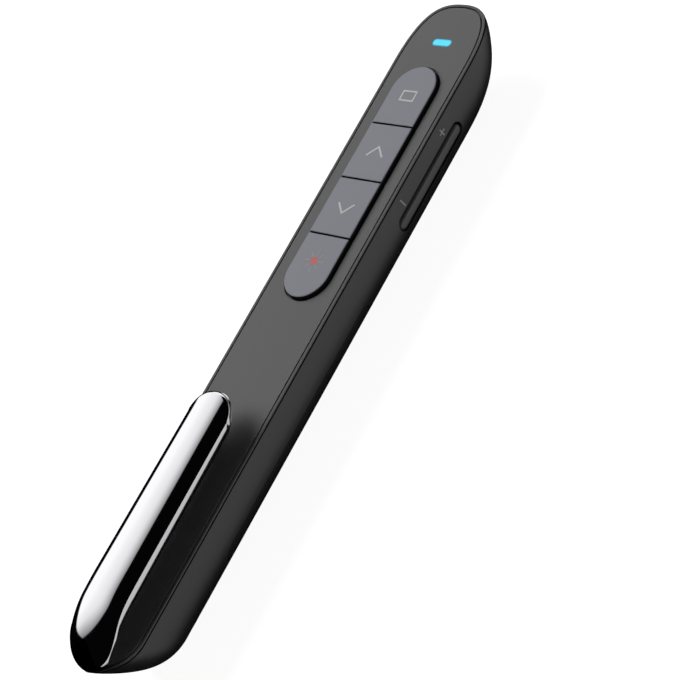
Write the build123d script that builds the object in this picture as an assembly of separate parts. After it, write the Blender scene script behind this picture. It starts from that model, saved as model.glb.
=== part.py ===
from build123d import *
import math
import os

# Wireless presentation clicker: a slim boat-shaped remote, 149.5 mm long.
# Frame: +X towards the nose, +Y to the left, +Z up out of the key panel.
# The origin is on the resting face, under the middle of the body. Millimetres.

os.makedirs("parts", exist_ok=True)

# ---- driving dimensions ----
NOSE_X = 75.0
TAIL_X = -74.5
BODY_HEIGHT = 13.5          # resting face to the face of the key panel
BODY_HALF_WIDTH = 9.95
SEAM_HALF_WIDTH = 9.65      # side wall where it meets the upper frame
SEAM_DEPTH = 0.55           # below the panel face
SHOULDER_DEPTH = 5.0        # where the side wall turns into the round underside
REST_HALF_WIDTH = 2.0       # flat strip that the body rests on
WALL = 1.4

NOSE_FOOT_X = 61.0          # front end of the resting strip
TAIL_FOOT_X = -67.4         # rear end of the resting strip
NOSE_CURVE = 1.3            # side view of the ends: 1 is a straight rake, 2 an ellipse
TAIL_CURVE = 1.15
NOSE_RUN = 14.6             # length of the rounded nose in plan, at the seam
NOSE_RUN_GROWTH = -2.2      # added to it by the time it reaches the underside
TAIL_RUN = 8.8
TAIL_RUN_GROWTH = 0.1
NOSE_HANDLES = (0.9, 0.53)  # Bezier handles: shares of the run and of the half width
TAIL_HANDLES = (0.7, 0.14)
HULL_STEPS = 6              # outlines round the underside

RIM_INSET = 0.05            # insets from the outline of the seam
RIM_THICKNESS = 0.2
NECK_INSET = 0.3
PLUG_INSET = 1.5
PLUG_NOSE_X = 71.9
PLUG_TAIL_X = -72.2
PANEL_THICKNESS = 0.5
PANEL_INSET = 0.9
PANEL_GROOVE = 0.3
FRAME_FLOOR = 1.0

KEY_HALF_WIDTH = 5.385
KEY_PROUD = 0.82
KEY_SINK = 1.0              # how far the cap reaches below the panel face
KEY_PITCH = 13.0
KEY_GROUP_X = 31.8          # middle of the four keys
KEY_GROUP_LENGTH = 54.1
KEY_GAP = 0.3
KEY_SURROUND = 0.5
KEY_TRAVEL = 0.35
KEY_FLANGE_OVERHANG = 0.8
KEY_FLANGE_THICKNESS = 0.8

LED_X = 65.45
LED_LENGTH = 4.9
LED_WIDTH = 1.75

BOARD_TOP = 9.4
BOARD_THICKNESS = 1.0
BOARD_HALF_WIDTH = 7.4
BOARD_REAR_X = 12.0
BOARD_NOSE_X = 67.8

ROCKER_X = 38.5
ROCKER_LENGTH = 24.6
ROCKER_Z = 7.6
ROCKER_HEIGHT = 2.4
ROCKER_POCKET_Z = 7.85
ROCKER_POCKET_LENGTH = 25.2
ROCKER_POCKET_HEIGHT = 3.5
ROCKER_SWITCH_SPACING = 17.0
ROCKER_PIN_Y = -7.3
ROCKER_PIN_RADIUS = 0.5
PIN_LOW_Z = 5.2
PIN_HIGH_Z = 10.4

SCREW_X = 61.6
SCREW_Y = 5.0

SLIDER_X = 38.5
SLIDER_Z = 7.9
SLIDER_TRAVEL = 2.5

DOOR_FRONT_X = 10.5
DOOR_REAR_X = -44.8
DOOR_TOP_Z = 6.3
DOOR_CORNER = 2.5
DOOR_GAP = 0.12
DOOR_WALL = 1.3

CELL_RADIUS = 5.1
CELL_CAN_LENGTH = 43.6
CELL_NUB_LENGTH = 0.9
CELL_Z = 6.65
CELL_FRONT_X = 8.85
SPRING_X = -41.0
SPRING_LENGTH = 5.85
SPRING_TURNS = 4
SPRING_RADIUS = 3.6
SPRING_WIRE_RADIUS = 0.29

WALL_THICKNESS = 1.2        # of the bulkheads inside the casing
RIB_INSET = 0.7             # how deep the inner ribs run into the shell
FRONT_WALL_X = 10.6
REAR_WALL_X = -46.1
SPRING_WALL_X = -42.9
BULKHEAD_TOP_Z = 11.8
LEDGE_LENGTH = 1.7
BAY_FRONT_X = -48.3         # front end of the receiver bay
BAY_HALF_WIDTH = 8.0
NOSE_BLOCK_X = 61.5         # rear end of the block round the laser barrel
NOSE_BLOCK_HALF_WIDTH = 3.4
EAR_HALF_LENGTH = 1.6       # ears that hold the rocker's pin

LASER_Z = 5.6
LASER_RADIUS = 2.5
LASER_REAR_X = 54.1
LASER_FRONT_X = 66.0
APERTURE_RADIUS = 1.7

RECEIVER_Z = 6.0
RECEIVER_CAP_X = -62.0
PLUG_WIDTH = 12.0
PLUG_HEIGHT = 4.5
PLUG_LENGTH = 11.8
PLUG_GAP = 0.15
GRIP_HALF_WIDTH = 6.75
GRIP_HALF_HEIGHT = 2.5
GRIP_GAP = 0.1
FINGER_NOTCH_X = -72.6
FINGER_NOTCH_RADIUS = 1.5
MAGNET_X = -49.75
MAGNET_RADIUS = 2.5
MAGNET_THICKNESS = 1.1

CLIP_NOSE_RADIUS = 5.35      # the free end, round in plan
CLIP_NOSE_CENTRE_X = -24.45
CLIP_TAPER = 0.0091         # growth of the half width per millimetre towards the tail
CLIP_FLARE = 0.8            # further growth of the half width at the tail
CLIP_FLARE_X = -66.0
CLIP_FLARE_LENGTH = 8.0
CLIP_BLEND = 24             # sharpness of the turn where the flare meets the tail's outline
CLIP_TOP = 6.0              # heights above the panel face
CLIP_SHOULDER = 4.4
CLIP_UNDERSIDE = 3.5
CLIP_CROWN_POWER = 2.5      # rounding of the free end's top: 2 is an ellipse
CLIP_CROWN_HANDLE = 0.688   # Bezier handle across the clip, flatter than an ellipse's
ROUND_HANDLE = 0.5523       # the handle of an ellipse, which the tail has
CLIP_SLOPE_X = -58.4        # where the top begins to fall towards the tail
CLIP_SLOPE_END_X = -74.42
CLIP_SLOPE_POWER = 2.34
CLIP_SHOULDER_X = -66.4     # where the shoulder begins to fall
CLIP_SHOULDER_FALL = 5.5    # length of that fall
CLIP_HEEL_X = -67.9         # where the lower edge begins to fall
CLIP_FOOT_X = -72.5         # where it meets the panel
CLIP_FLEX_X = -64.0         # where the blade starts to bend
FLEX_GAP = 0.06
TENON_X = -71.2
TENON_HALF_WIDTH = 2.5
TENON_HALF_LENGTH = 0.45
HEEL_BLOCK_HALF_WIDTH = 3.6
HEEL_BLOCK_HEIGHT = 1.6
NUB_X = -27.5               # grip nub under the free end
NUB_RADIUS = 2.6
NUB_LENGTH = 5.0
NUB_LOW = 1.2

PANEL_Z = BODY_HEIGHT
FRAME_UNDERSIDE = PANEL_Z - PANEL_THICKNESS - FRAME_FLOOR
FAR = 200.0


# ---- shared shapes ----
def plan(half_width, nose_x, tail_x, z, nose_run=NOSE_RUN, tail_run=TAIL_RUN,
         nose_handles=NOSE_HANDLES, tail_handles=TAIL_HANDLES):
    """A pointed-oval outline at height z, each end drawn as two Bezier quarters."""
    front = nose_x - nose_run
    rear = tail_x + tail_run
    w = half_width
    nose_in = front + nose_handles[0] * nose_run
    tail_in = rear - tail_handles[0] * tail_run
    nose_tip = nose_handles[1] * w
    tail_tip = tail_handles[1] * w
    edges = [
        Line((rear, -w), (front, -w)),
        Bezier((front, -w), (nose_in, -w), (nose_x, -nose_tip), (nose_x, 0)),
        Bezier((nose_x, 0), (nose_x, nose_tip), (nose_in, w), (front, w)),
        Line((front, w), (rear, w)),
        Bezier((rear, w), (tail_in, w), (tail_x, tail_tip), (tail_x, 0)),
        Bezier((tail_x, 0), (tail_x, -tail_tip), (tail_in, -w), (rear, -w)),
    ]
    return Pos(0, 0, z) * Face(Wire(edges))


def seam_plan(inset, z):
    """The outline of the seam between the casings, moved inwards all round."""
    return plan(SEAM_HALF_WIDTH - inset, NOSE_X - inset, TAIL_X + inset, z,
                NOSE_RUN - inset, TAIL_RUN - inset)


def slab(low, high):
    """A box between two corners."""
    size = [b - a for a, b in zip(low, high)]
    middle = [(a + b) / 2 for a, b in zip(low, high)]
    return Pos(*middle) * Box(*size)


def rod(start, axis, radius, length):
    """A cylinder from a point, along an axis."""
    return extrude(Plane(start, z_dir=axis) * Circle(radius), length)


def stadium(x0, x1, half_width, z):
    """A slot outline between two X positions, with semicircular ends."""
    return Pos((x0 + x1) / 2, 0, z) * SlotOverall(x1 - x0, 2 * half_width)


def rake(share, tip_x, foot_x, curve):
    """X of an end of the body at a share of its depth, from its tip to the foot of its rake."""
    return foot_x + (tip_x - foot_x) * (1 - share ** curve) ** (1 / curve)


def hull(inset=0.0, open_top=False):
    """The outer form of the body as a loft of plan outlines, or the same form a wall inside it."""
    round_width = BODY_HALF_WIDTH - REST_HALF_WIDTH - inset
    round_depth = BODY_HEIGHT - SHOULDER_DEPTH - inset
    raked_depth = BODY_HEIGHT - SEAM_DEPTH
    middle_depth = (SEAM_DEPTH + SHOULDER_DEPTH) / 2
    middle_width = BODY_HALF_WIDTH - 0.25 * (BODY_HALF_WIDTH - SEAM_HALF_WIDTH)
    levels = [(SEAM_DEPTH, SEAM_HALF_WIDTH - inset), (middle_depth, middle_width - inset)]
    for step in range(HULL_STEPS + 1):
        angle = math.pi / 2 * step / HULL_STEPS
        depth = SHOULDER_DEPTH + round_depth * math.sin(angle)
        levels.append((depth, REST_HALF_WIDTH + round_width * math.cos(angle)))
    nose_slant = inset * math.hypot(1, (NOSE_X - NOSE_FOOT_X) / raked_depth)
    tail_slant = inset * math.hypot(1, (TAIL_FOOT_X - TAIL_X) / raked_depth)
    outlines = []
    for depth, width in levels:
        share = min(1.0, (depth - SEAM_DEPTH) / raked_depth)
        nose_x = rake(share, NOSE_X, NOSE_FOOT_X, NOSE_CURVE) - nose_slant
        tail_x = rake(share, TAIL_X, TAIL_FOOT_X, TAIL_CURVE) + tail_slant
        nose_run = NOSE_RUN + NOSE_RUN_GROWTH * share - nose_slant
        tail_run = TAIL_RUN + TAIL_RUN_GROWTH * share - tail_slant
        outlines.append(plan(width, nose_x, tail_x, BODY_HEIGHT - depth, nose_run, tail_run))
    solid = loft(outlines)
    if open_top:
        solid += extrude(outlines[0], 2.0, dir=(0, 0, 1))
    return solid


def door_prism(gap=0.0):
    """The side view of the battery door, carried right across the body."""
    length = DOOR_FRONT_X - DOOR_REAR_X - 2 * gap
    height = 2 * DOOR_TOP_Z - 2 * gap
    outline = RectangleRounded(length, height, DOOR_CORNER)
    middle = Plane(((DOOR_FRONT_X + DOOR_REAR_X) / 2, FAR / 2, 0), z_dir=(0, -1, 0), x_dir=(1, 0, 0))
    return extrude(middle * outline, FAR)


def side_slot(x, z, length, height, y_from, y_to):
    """A slot with round ends through a side wall, from one Y to another."""
    start = Plane((x, y_from, z), z_dir=(0, 1 if y_to > y_from else -1, 0), x_dir=(1, 0, 0))
    return extrude(start * SlotOverall(length, height), abs(y_to - y_from))


# ---- casings ----
def lower_housing(body, cavity):
    """Moulded shell: open battery bay, rocker pocket, switch slot, receiver bay and laser nose."""
    shell = body - cavity
    rib_form = hull(RIB_INSET)
    inner_form = hull(RIB_INSET + 1.0)
    board_under = BOARD_TOP - BOARD_THICKNESS
    ledge_x = FRONT_WALL_X + WALL_THICKNESS + 0.1
    spring_wall_x = SPRING_WALL_X + WALL_THICKNESS
    front_wall = rib_form & slab((FRONT_WALL_X, -FAR, 0), (ledge_x, FAR, BULKHEAD_TOP_Z - 1.0))
    ledge = rib_form & slab((ledge_x, -FAR, board_under - 1.5), (ledge_x + LEDGE_LENGTH, FAR, board_under))
    rear_wall = rib_form & slab((REAR_WALL_X, -FAR, 0), (REAR_WALL_X + WALL_THICKNESS, FAR, BULKHEAD_TOP_Z))
    spring_wall = rib_form & slab((SPRING_WALL_X, -FAR, DOOR_TOP_Z + 0.3),
                                  (spring_wall_x, FAR, BULKHEAD_TOP_Z))
    spring_wall += inner_form & slab((SPRING_WALL_X, -FAR, 2.2),
                                     (spring_wall_x, FAR, BULKHEAD_TOP_Z))
    receiver_bay = rib_form & slab((-FAR, -BAY_HALF_WIDTH, 2.0), (BAY_FRONT_X, BAY_HALF_WIDTH, 9.6))
    laser_nose = rib_form & slab((NOSE_BLOCK_X, -NOSE_BLOCK_HALF_WIDTH, 1.6),
                                 (NOSE_X, NOSE_BLOCK_HALF_WIDTH, 8.3))
    ear_rear, ear_front = ROCKER_X - EAR_HALF_LENGTH, ROCKER_X + EAR_HALF_LENGTH
    ear_low = rib_form & slab((ear_rear, -9.4, PIN_LOW_Z - 0.3), (ear_front, -6.4, PIN_LOW_Z + 1.0))
    ear_high = rib_form & slab((ear_rear, -9.4, PIN_HIGH_Z - 0.9), (ear_front, -6.4, PIN_HIGH_Z + 0.3))
    for piece in (front_wall, ledge, rear_wall, spring_wall, receiver_bay, laser_nose, ear_low, ear_high):
        shell += piece
    shell -= door_prism() & slab((DOOR_REAR_X, -FAR, -1), (DOOR_FRONT_X, FAR, DOOR_TOP_Z)) & (
        hull() - hull(1.65))
    pocket = side_slot(ROCKER_X, ROCKER_POCKET_Z, ROCKER_POCKET_LENGTH, ROCKER_POCKET_HEIGHT, -FAR, -8.9)
    opening = side_slot(ROCKER_X, ROCKER_Z, ROCKER_LENGTH + 0.6, ROCKER_HEIGHT + 0.4, -9.2, -8.0)
    switch_slot = side_slot(SLIDER_X, SLIDER_Z, 9.4, 2.4, 8.0, FAR)
    shell -= pocket
    shell -= opening
    shell -= switch_slot
    shell -= rocker_pin()
    room_width = GRIP_HALF_WIDTH + GRIP_GAP
    room_height = GRIP_HALF_HEIGHT + 1.5 * GRIP_GAP
    shell -= slab((-FAR, -room_width, RECEIVER_Z - room_height),
                  (RECEIVER_CAP_X + 0.1, room_width, RECEIVER_Z + room_height))
    plug_width = PLUG_WIDTH / 2 + PLUG_GAP
    plug_height = PLUG_HEIGHT / 2 + PLUG_GAP
    shell -= slab((RECEIVER_CAP_X - 2, -plug_width, RECEIVER_Z - plug_height),
                  (MAGNET_X - 0.05, plug_width, RECEIVER_Z + plug_height))
    shell -= rod((MAGNET_X - 0.15, 0, RECEIVER_Z), (1, 0, 0), MAGNET_RADIUS + 0.05, MAGNET_THICKNESS + 0.2)
    bore_length = LASER_FRONT_X - LASER_REAR_X + 2
    shell -= rod((LASER_REAR_X - 2, 0, LASER_Z), (1, 0, 0), LASER_RADIUS + 0.05, bore_length)
    shell -= rod((LASER_FRONT_X - 1, 0, LASER_Z), (1, 0, 0), APERTURE_RADIUS, 12)
    return shell


def upper_frame():
    """Moulded bezel: the rim round the panel, the floor under it and the bosses for the board."""
    rim = extrude(seam_plan(RIM_INSET, PANEL_Z - RIM_THICKNESS), RIM_THICKNESS)
    neck = extrude(seam_plan(NECK_INSET, PANEL_Z - SEAM_DEPTH), SEAM_DEPTH - RIM_THICKNESS)
    plug_outline = plan(SEAM_HALF_WIDTH - PLUG_INSET, PLUG_NOSE_X, PLUG_TAIL_X, FRAME_UNDERSIDE,
                        NOSE_RUN - 2 * PLUG_INSET, TAIL_RUN - PLUG_INSET)
    frame = rim + neck + extrude(plug_outline, PANEL_Z - SEAM_DEPTH - FRAME_UNDERSIDE)
    frame -= extrude(seam_plan(PANEL_INSET - PANEL_GROOVE, PANEL_Z - PANEL_THICKNESS), 2.0)
    for y in (-SCREW_Y, SCREW_Y):
        boss = rod((SCREW_X, y, BOARD_TOP), (0, 0, 1), 1.6, FRAME_UNDERSIDE - BOARD_TOP + 0.3)
        frame += boss
        frame -= rod((SCREW_X, y, BOARD_TOP - 0.1), (0, 0, 1), 0.6, 2.4)
    for x in (-58.0, -36.0, -4.0, 16.0):
        for y in (-7.7, 7.7):
            frame += slab((x - 2, y - 0.35, FRAME_UNDERSIDE - 1.2), (x + 2, y + 0.35, FRAME_UNDERSIDE + 0.2))
    frame -= key_opening(0.25, FRAME_UNDERSIDE - 1)
    frame -= led_pill(0.06, FRAME_UNDERSIDE - 1, 4.0)
    frame -= tenon(0.05)
    return frame


def key_opening(gap, z):
    """The racetrack hole that all four keys stand in."""
    half = KEY_GROUP_LENGTH / 2 + gap
    return extrude(stadium(KEY_GROUP_X - half, KEY_GROUP_X + half, KEY_HALF_WIDTH + gap, z), 10.0)


def led_pill(gap, z, height):
    """The crosswise pill shape of the status light."""
    pill = Pos(LED_X, 0, z) * Rot(0, 0, 90) * SlotOverall(LED_LENGTH + 2 * gap, LED_WIDTH + 2 * gap)
    return extrude(pill, height)


def top_panel():
    """Stamped plate in the frame's pocket, with the key opening and the light's hole."""
    plate = extrude(seam_plan(PANEL_INSET, PANEL_Z - PANEL_THICKNESS), PANEL_THICKNESS)
    plate -= key_opening(KEY_SURROUND, PANEL_Z - 2)
    plate -= led_pill(0.06, PANEL_Z - 2, 4.0)
    plate -= tenon(0.05)
    return plate


def battery_door(body):
    """Lift-off door: the underside of the body with tongues, cradle ribs and grip grooves."""
    prism = door_prism(DOOR_GAP)
    door = (body - hull(DOOR_WALL)) & prism & slab((-FAR, -FAR, -1), (FAR, FAR, DOOR_TOP_Z - DOOR_GAP))
    cradle_form = hull(DOOR_WALL - 0.2)
    cell_room = rod((-FAR / 2, 0, CELL_Z), (1, 0, 0), CELL_RADIUS + 0.15, FAR)
    for x in (-30.0, -13.0, 4.0):
        rib = cradle_form & slab((x - 0.5, -FAR, 0.6), (x + 0.5, FAR, 4.4))
        door += rib - cell_room
    for x in (-31.0, -2.0):
        for y in (-7.6, 7.6):
            door += slab((x - 3, y - 0.35, 3.6), (x + 3, y + 0.35, DOOR_TOP_Z + 1.5)) & hull(DOOR_WALL - 0.2)
    for x in (-40.5, -39.0, -37.5):
        door -= slab((x - 0.3, -3.2, -1), (x + 0.3, 3.2, 0.3))
    return door


# ---- keys ----
def key_outline(index, z):
    """Outline of one key: square between neighbours, half round at the group's ends."""
    group = stadium(KEY_GROUP_X - KEY_GROUP_LENGTH / 2, KEY_GROUP_X + KEY_GROUP_LENGTH / 2, KEY_HALF_WIDTH, z)
    low = KEY_GROUP_X + (index - 2) * KEY_PITCH + KEY_GAP / 2
    high = KEY_GROUP_X + (index - 1) * KEY_PITCH - KEY_GAP / 2
    if index == 0:
        low -= KEY_PITCH
    if index == 3:
        high += KEY_PITCH
    window = Pos((low + high) / 2, 0, z) * Rectangle(high - low, 4 * KEY_HALF_WIDTH)
    return group & window, low, high


def key_centre(index):
    """X position of the switch under a key; the rear one stands clear of the battery bay."""
    return max(14.4, KEY_GROUP_X + (index - 1.5) * KEY_PITCH)


def key_cap(index):
    """Key cap with a softened top edge, its retaining flange under the frame's floor."""
    outline, low, high = key_outline(index, PANEL_Z - KEY_SINK)
    cap = extrude(outline, KEY_SINK + KEY_PROUD)
    cap = fillet(cap.edges().group_by(Axis.Z)[-1], 0.22)
    centre = key_centre(index)
    block_low = max(low, 12.4) if index == 0 else centre - 5.6
    block_high = centre + (4.0 if index == 0 else 4.6 if index == 3 else 5.6)
    flange_top = FRAME_UNDERSIDE - 0.1
    flange_width = KEY_HALF_WIDTH + KEY_FLANGE_OVERHANG
    cap += slab((block_low, -4.6, flange_top - 0.1), (block_high, 4.6, PANEL_Z - KEY_SINK + 0.1))
    cap += slab((block_low, -flange_width, flange_top - KEY_FLANGE_THICKNESS),
                (block_high, flange_width, flange_top))
    return cap


def key_plunger(index):
    """The switch's own stem, under the key's flange."""
    top = FRAME_UNDERSIDE - 0.1 - KEY_FLANGE_THICKNESS
    return rod((key_centre(index), 0, BOARD_TOP + 0.9), (0, 0, 1), 1.0, top - BOARD_TOP - 0.9)


def key_switches():
    """Four low tactile switches, each a body with a round well for its stem."""
    bodies = []
    for index in range(4):
        x = key_centre(index)
        body = slab((x - 2.1, -2.1, BOARD_TOP), (x + 2.1, 2.1, BOARD_TOP + 1.1))
        body -= rod((x, 0, BOARD_TOP + 0.4), (0, 0, 1), 1.15, 2)
        for y in (-2.5, 2.5):
            body += slab((x - 1.6, min(y, 0), BOARD_TOP), (x + 1.6, max(y, 0), BOARD_TOP + 0.2)) - slab(
                (x - 2, -2.0, BOARD_TOP), (x + 2, 2.0, BOARD_TOP + 1))
        bodies.append(body)
    return Compound(children=[solid for body in bodies for solid in body.solids()])


# ---- volume rocker ----
def volume_rocker():
    """Long bar with a crowned face, two lobes that press the switches and a pivot boss."""
    bar = side_slot(ROCKER_X, ROCKER_Z, ROCKER_LENGTH, ROCKER_HEIGHT, -7.7, -9.85)
    bar = fillet(bar.faces().sort_by(Axis.Y)[0].edges(), 0.7)
    boss = rod((ROCKER_X, ROCKER_PIN_Y, ROCKER_Z - 1.25), (0, 0, 1), 1.0, 2.5)
    boss += slab((ROCKER_X - 1.0, -7.8, ROCKER_Z - 1.25), (ROCKER_X + 1.0, ROCKER_PIN_Y, ROCKER_Z + 1.25))
    bar += boss
    bar -= rod((ROCKER_X, ROCKER_PIN_Y, 0), (0, 0, 1), ROCKER_PIN_RADIUS + 0.05, 20)
    return bar


def side_plungers():
    """The stems of the two side switches, carried by the rocker's ends."""
    half = ROCKER_SWITCH_SPACING / 2
    stems = [rod((ROCKER_X + side * half, -7.7, BOARD_TOP - 1.55), (0, 1, 0), 0.5, 1.6)
             for side in (-1, 1)]
    return Compound(children=[solid for stem in stems for solid in stem.solids()])


def side_switches():
    """Two right-angle switches on the underside of the board's edge."""
    bodies = []
    for side in (-1, 1):
        x = ROCKER_X + side * ROCKER_SWITCH_SPACING / 2
        body = slab((x - 2.2, -6.7, BOARD_TOP - 3.2), (x + 2.2, -4.2, BOARD_TOP - BOARD_THICKNESS))
        body -= rod((x, -7.0, BOARD_TOP - 1.55), (0, 1, 0), 0.7, 1.9)
        bodies.append(body)
    return Compound(children=[solid for body in bodies for solid in body.solids()])


# ---- power switch ----
def power_knob():
    """Slider in the left side wall, with a ribbed face and a flange behind the wall."""
    knob = side_slot(SLIDER_X + 1.25, SLIDER_Z, 6.5, 2.2, 7.6, 9.85)
    for step in range(-2, 3):
        x = SLIDER_X + 1.25 + step * 0.8
        knob -= slab((x - 0.2, 9.55, 0), (x + 0.2, 11.0, 20))
    knob += slab((SLIDER_X - 3.7, 7.3, SLIDER_Z - 1.3), (SLIDER_X + 6.2, 8.2, SLIDER_Z + 1.3))
    return knob - slab((SLIDER_X + 0.2, 7.2, SLIDER_Z - 0.7), (SLIDER_X + 2.3, 8.0, SLIDER_Z + 0.7))


def power_lever():
    """The switch's own lever, which the knob carries along."""
    return slab((SLIDER_X + 0.3, 6.4, SLIDER_Z - 0.45), (SLIDER_X + 2.2, 7.9, SLIDER_Z + 0.45))


def power_switch():
    """Body of the slide switch, on the underside of the board's left edge."""
    body = slab((SLIDER_X - 4.4, 4.0, BOARD_TOP - 3.4), (SLIDER_X + 4.4, 6.9, BOARD_TOP - BOARD_THICKNESS))
    slot_low = SLIDER_X + 0.3 - SLIDER_TRAVEL - 0.3
    return body - slab((slot_low, 5.9, SLIDER_Z - 0.75), (SLIDER_X + 2.5, 8.0, SLIDER_Z + 0.75))


# ---- board and its parts ----
def main_board():
    """Printed circuit board, with a notch at each side opening."""
    under = BOARD_TOP - BOARD_THICKNESS
    board = extrude(plan(BOARD_HALF_WIDTH, BOARD_NOSE_X, -40.0, under, nose_run=11.5), BOARD_THICKNESS)
    board &= slab((BOARD_REAR_X, -FAR, 0), (FAR, FAR, 20))
    board -= slab((ROCKER_X - 13.0, -FAR, 0), (ROCKER_X + 13.0, -6.9, 20))
    board -= slab((ROCKER_X - 2.2, -FAR, 0), (ROCKER_X + 2.2, -6.1, 20))
    board -= slab((SLIDER_X - 6.5, 6.9, 0), (SLIDER_X + 6.8, FAR, 20))
    for y in (-SCREW_Y, SCREW_Y):
        board -= rod((SCREW_X, y, 0), (0, 0, 1), 0.8, 20)
    return board


def chip(x, y, length, width, height):
    """A moulded chip under the board, with a row of legs on two sides."""
    top = BOARD_TOP - BOARD_THICKNESS
    body = slab((x - length / 2, y - width / 2, top - height), (x + length / 2, y + width / 2, top - 0.1))
    legs = int(length / 0.8)
    for step in range(legs):
        leg_x = x + (step - (legs - 1) / 2) * 0.8
        body += slab((leg_x - 0.15, y - width / 2 - 0.6, top - 0.3), (leg_x + 0.15, y + width / 2 + 0.6, top))
    return body


def crystal_can():
    """Quartz crystal in a pressed can with round ends."""
    can = Pos(34.0, 0, BOARD_TOP - BOARD_THICKNESS - 1.6) * Rot(0, 0, 90) * SlotOverall(5.0, 2.2)
    return extrude(can, 1.6)


def board_capacitors():
    """Six small ceramic capacitors beside the chips."""
    under = BOARD_TOP - BOARD_THICKNESS
    spots = [(x, y) for x in (19.0, 30.5, 47.5) for y in (-2.6, 2.6)]
    blocks = [slab((x - 0.5, y - 0.9, under - 0.8), (x + 0.5, y + 0.9, under)) for x, y in spots]
    return Compound(children=[solid for block in blocks for solid in block.solids()])


def board_screws():
    """Two pan-head screws that hold the board to the frame's bosses."""
    screws = []
    for y in (-SCREW_Y, SCREW_Y):
        head = rod((SCREW_X, y, BOARD_TOP - BOARD_THICKNESS - 0.9), (0, 0, 1), 1.3, 0.9)
        head = fillet(head.edges().group_by(Axis.Z)[0], 0.4)
        shank = rod((SCREW_X, y, BOARD_TOP - BOARD_THICKNESS), (0, 0, 1), 0.55, 2.8)
        recess = slab((SCREW_X - 0.7, y - 0.15, 7.0), (SCREW_X + 0.7, y + 0.15, 7.8))
        recess += slab((SCREW_X - 0.15, y - 0.7, 7.0), (SCREW_X + 0.15, y + 0.7, 7.8))
        screws.append(head + shank - recess)
    return Compound(children=[solid for screw in screws for solid in screw.solids()])


def led_chip():
    """Surface-mounted light under the light pipe."""
    return slab((LED_X - 0.8, -1.6, BOARD_TOP), (LED_X + 0.8, 1.6, BOARD_TOP + 1.1))


def led_light_pipe():
    """Clear pill that fills the panel's hole, with a foot behind the frame."""
    pipe = led_pill(0.0, BOARD_TOP + 1.2, PANEL_Z - BOARD_TOP - 1.2)
    foot = led_pill(0.5, FRAME_UNDERSIDE - 0.7, 0.65)
    return pipe + foot


# ---- laser ----
def laser_barrel():
    """Turned tube that holds the diode and the lens."""
    start = (LASER_REAR_X, 0, LASER_Z)
    tube = rod(start, (1, 0, 0), LASER_RADIUS, LASER_FRONT_X - LASER_REAR_X - 0.1)
    tube -= rod(start, (1, 0, 0), 1.6, 20)
    tube -= rod((LASER_FRONT_X - 2.2, 0, LASER_Z), (1, 0, 0), 2.05, 3)
    return tube


def laser_diode():
    """Diode can with its base flange and three legs, at the back of the barrel."""
    can = rod((LASER_REAR_X, 0, LASER_Z), (1, 0, 0), 1.5, 3.2)
    can += rod((LASER_REAR_X - 1.0, 0, LASER_Z), (1, 0, 0), 2.3, 1.0)
    for angle in (90, 210, 330):
        y = 0.9 * math.cos(math.radians(angle))
        z = LASER_Z + 0.9 * math.sin(math.radians(angle))
        can += rod((LASER_REAR_X - 4.0, y, z), (1, 0, 0), 0.22, 3.2)
    return can


def laser_lens():
    """Small glass lens, crowned on its front, in the barrel's mouth."""
    back = LASER_FRONT_X - 2.1
    shoulder = back + 0.8
    crown_radius = 3.5
    crown_start = 1.8
    centre = shoulder - math.sqrt(crown_radius ** 2 - crown_start ** 2)
    middle = math.sqrt(crown_radius ** 2 - 1.0)
    profile = Polyline((centre + crown_radius, 0), (back, 0), (back, 2.0), (shoulder, 2.0), (shoulder, crown_start))
    profile += ThreePointArc((shoulder, crown_start), (centre + middle, 1.0), (centre + crown_radius, 0))
    half = Plane((0, 0, LASER_Z), z_dir=(0, -1, 0), x_dir=(1, 0, 0)) * make_face(profile)
    return revolve(half, Axis((0, 0, LASER_Z), (1, 0, 0)))


def laser_window():
    """Clear disc set back in the nose aperture."""
    return rod((LASER_FRONT_X + 0.6, 0, LASER_Z), (1, 0, 0), APERTURE_RADIUS, 0.8)


# ---- battery ----
def battery_cell():
    """Dry cell: a can with a rolled edge at each end and a contact nub in front."""
    rear = CELL_FRONT_X - CELL_CAN_LENGTH
    r = CELL_RADIUS
    profile = Polyline(
        (rear, 0), (rear, 3.6), (rear + 0.3, 3.9), (rear + 0.3, r - 0.7), (rear, r - 0.5), (rear + 0.3, r),
        (CELL_FRONT_X - 0.4, r), (CELL_FRONT_X, r - 0.5), (CELL_FRONT_X - 0.3, r - 0.8),
        (CELL_FRONT_X - 0.3, 2.3), (CELL_FRONT_X, 1.9), (CELL_FRONT_X + CELL_NUB_LENGTH - 0.2, 1.9),
        (CELL_FRONT_X + CELL_NUB_LENGTH, 1.7), (CELL_FRONT_X + CELL_NUB_LENGTH, 0), close=True)
    half = Plane((0, 0, CELL_Z), z_dir=(0, -1, 0), x_dir=(1, 0, 0)) * make_face(profile)
    return revolve(half, Axis((0, 0, CELL_Z), (1, 0, 0)))


def battery_spring():
    """Conical coil spring from the rear contact to the flat end of the cell."""
    pitch = SPRING_LENGTH / SPRING_TURNS
    coil = Helix(pitch=pitch, height=SPRING_LENGTH, radius=SPRING_RADIUS, cone_angle=-12)
    wire = Plane(coil @ 0, z_dir=coil % 0) * RegularPolygon(SPRING_WIRE_RADIUS, 8)
    spring = sweep(wire, path=coil)
    return Pos(SPRING_X, 0, CELL_Z) * Rot(0, 90, 0) * spring


def negative_contact():
    """Plated steel plate behind the spring, with a folded solder tab."""
    plate = slab((-41.7, -4.0, CELL_Z - 4.0), (-41.4, 4.0, CELL_Z + 4.0))
    return plate + slab((-41.7, -1.2, CELL_Z + 3.9), (-41.4, 1.2, 11.7))


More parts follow.
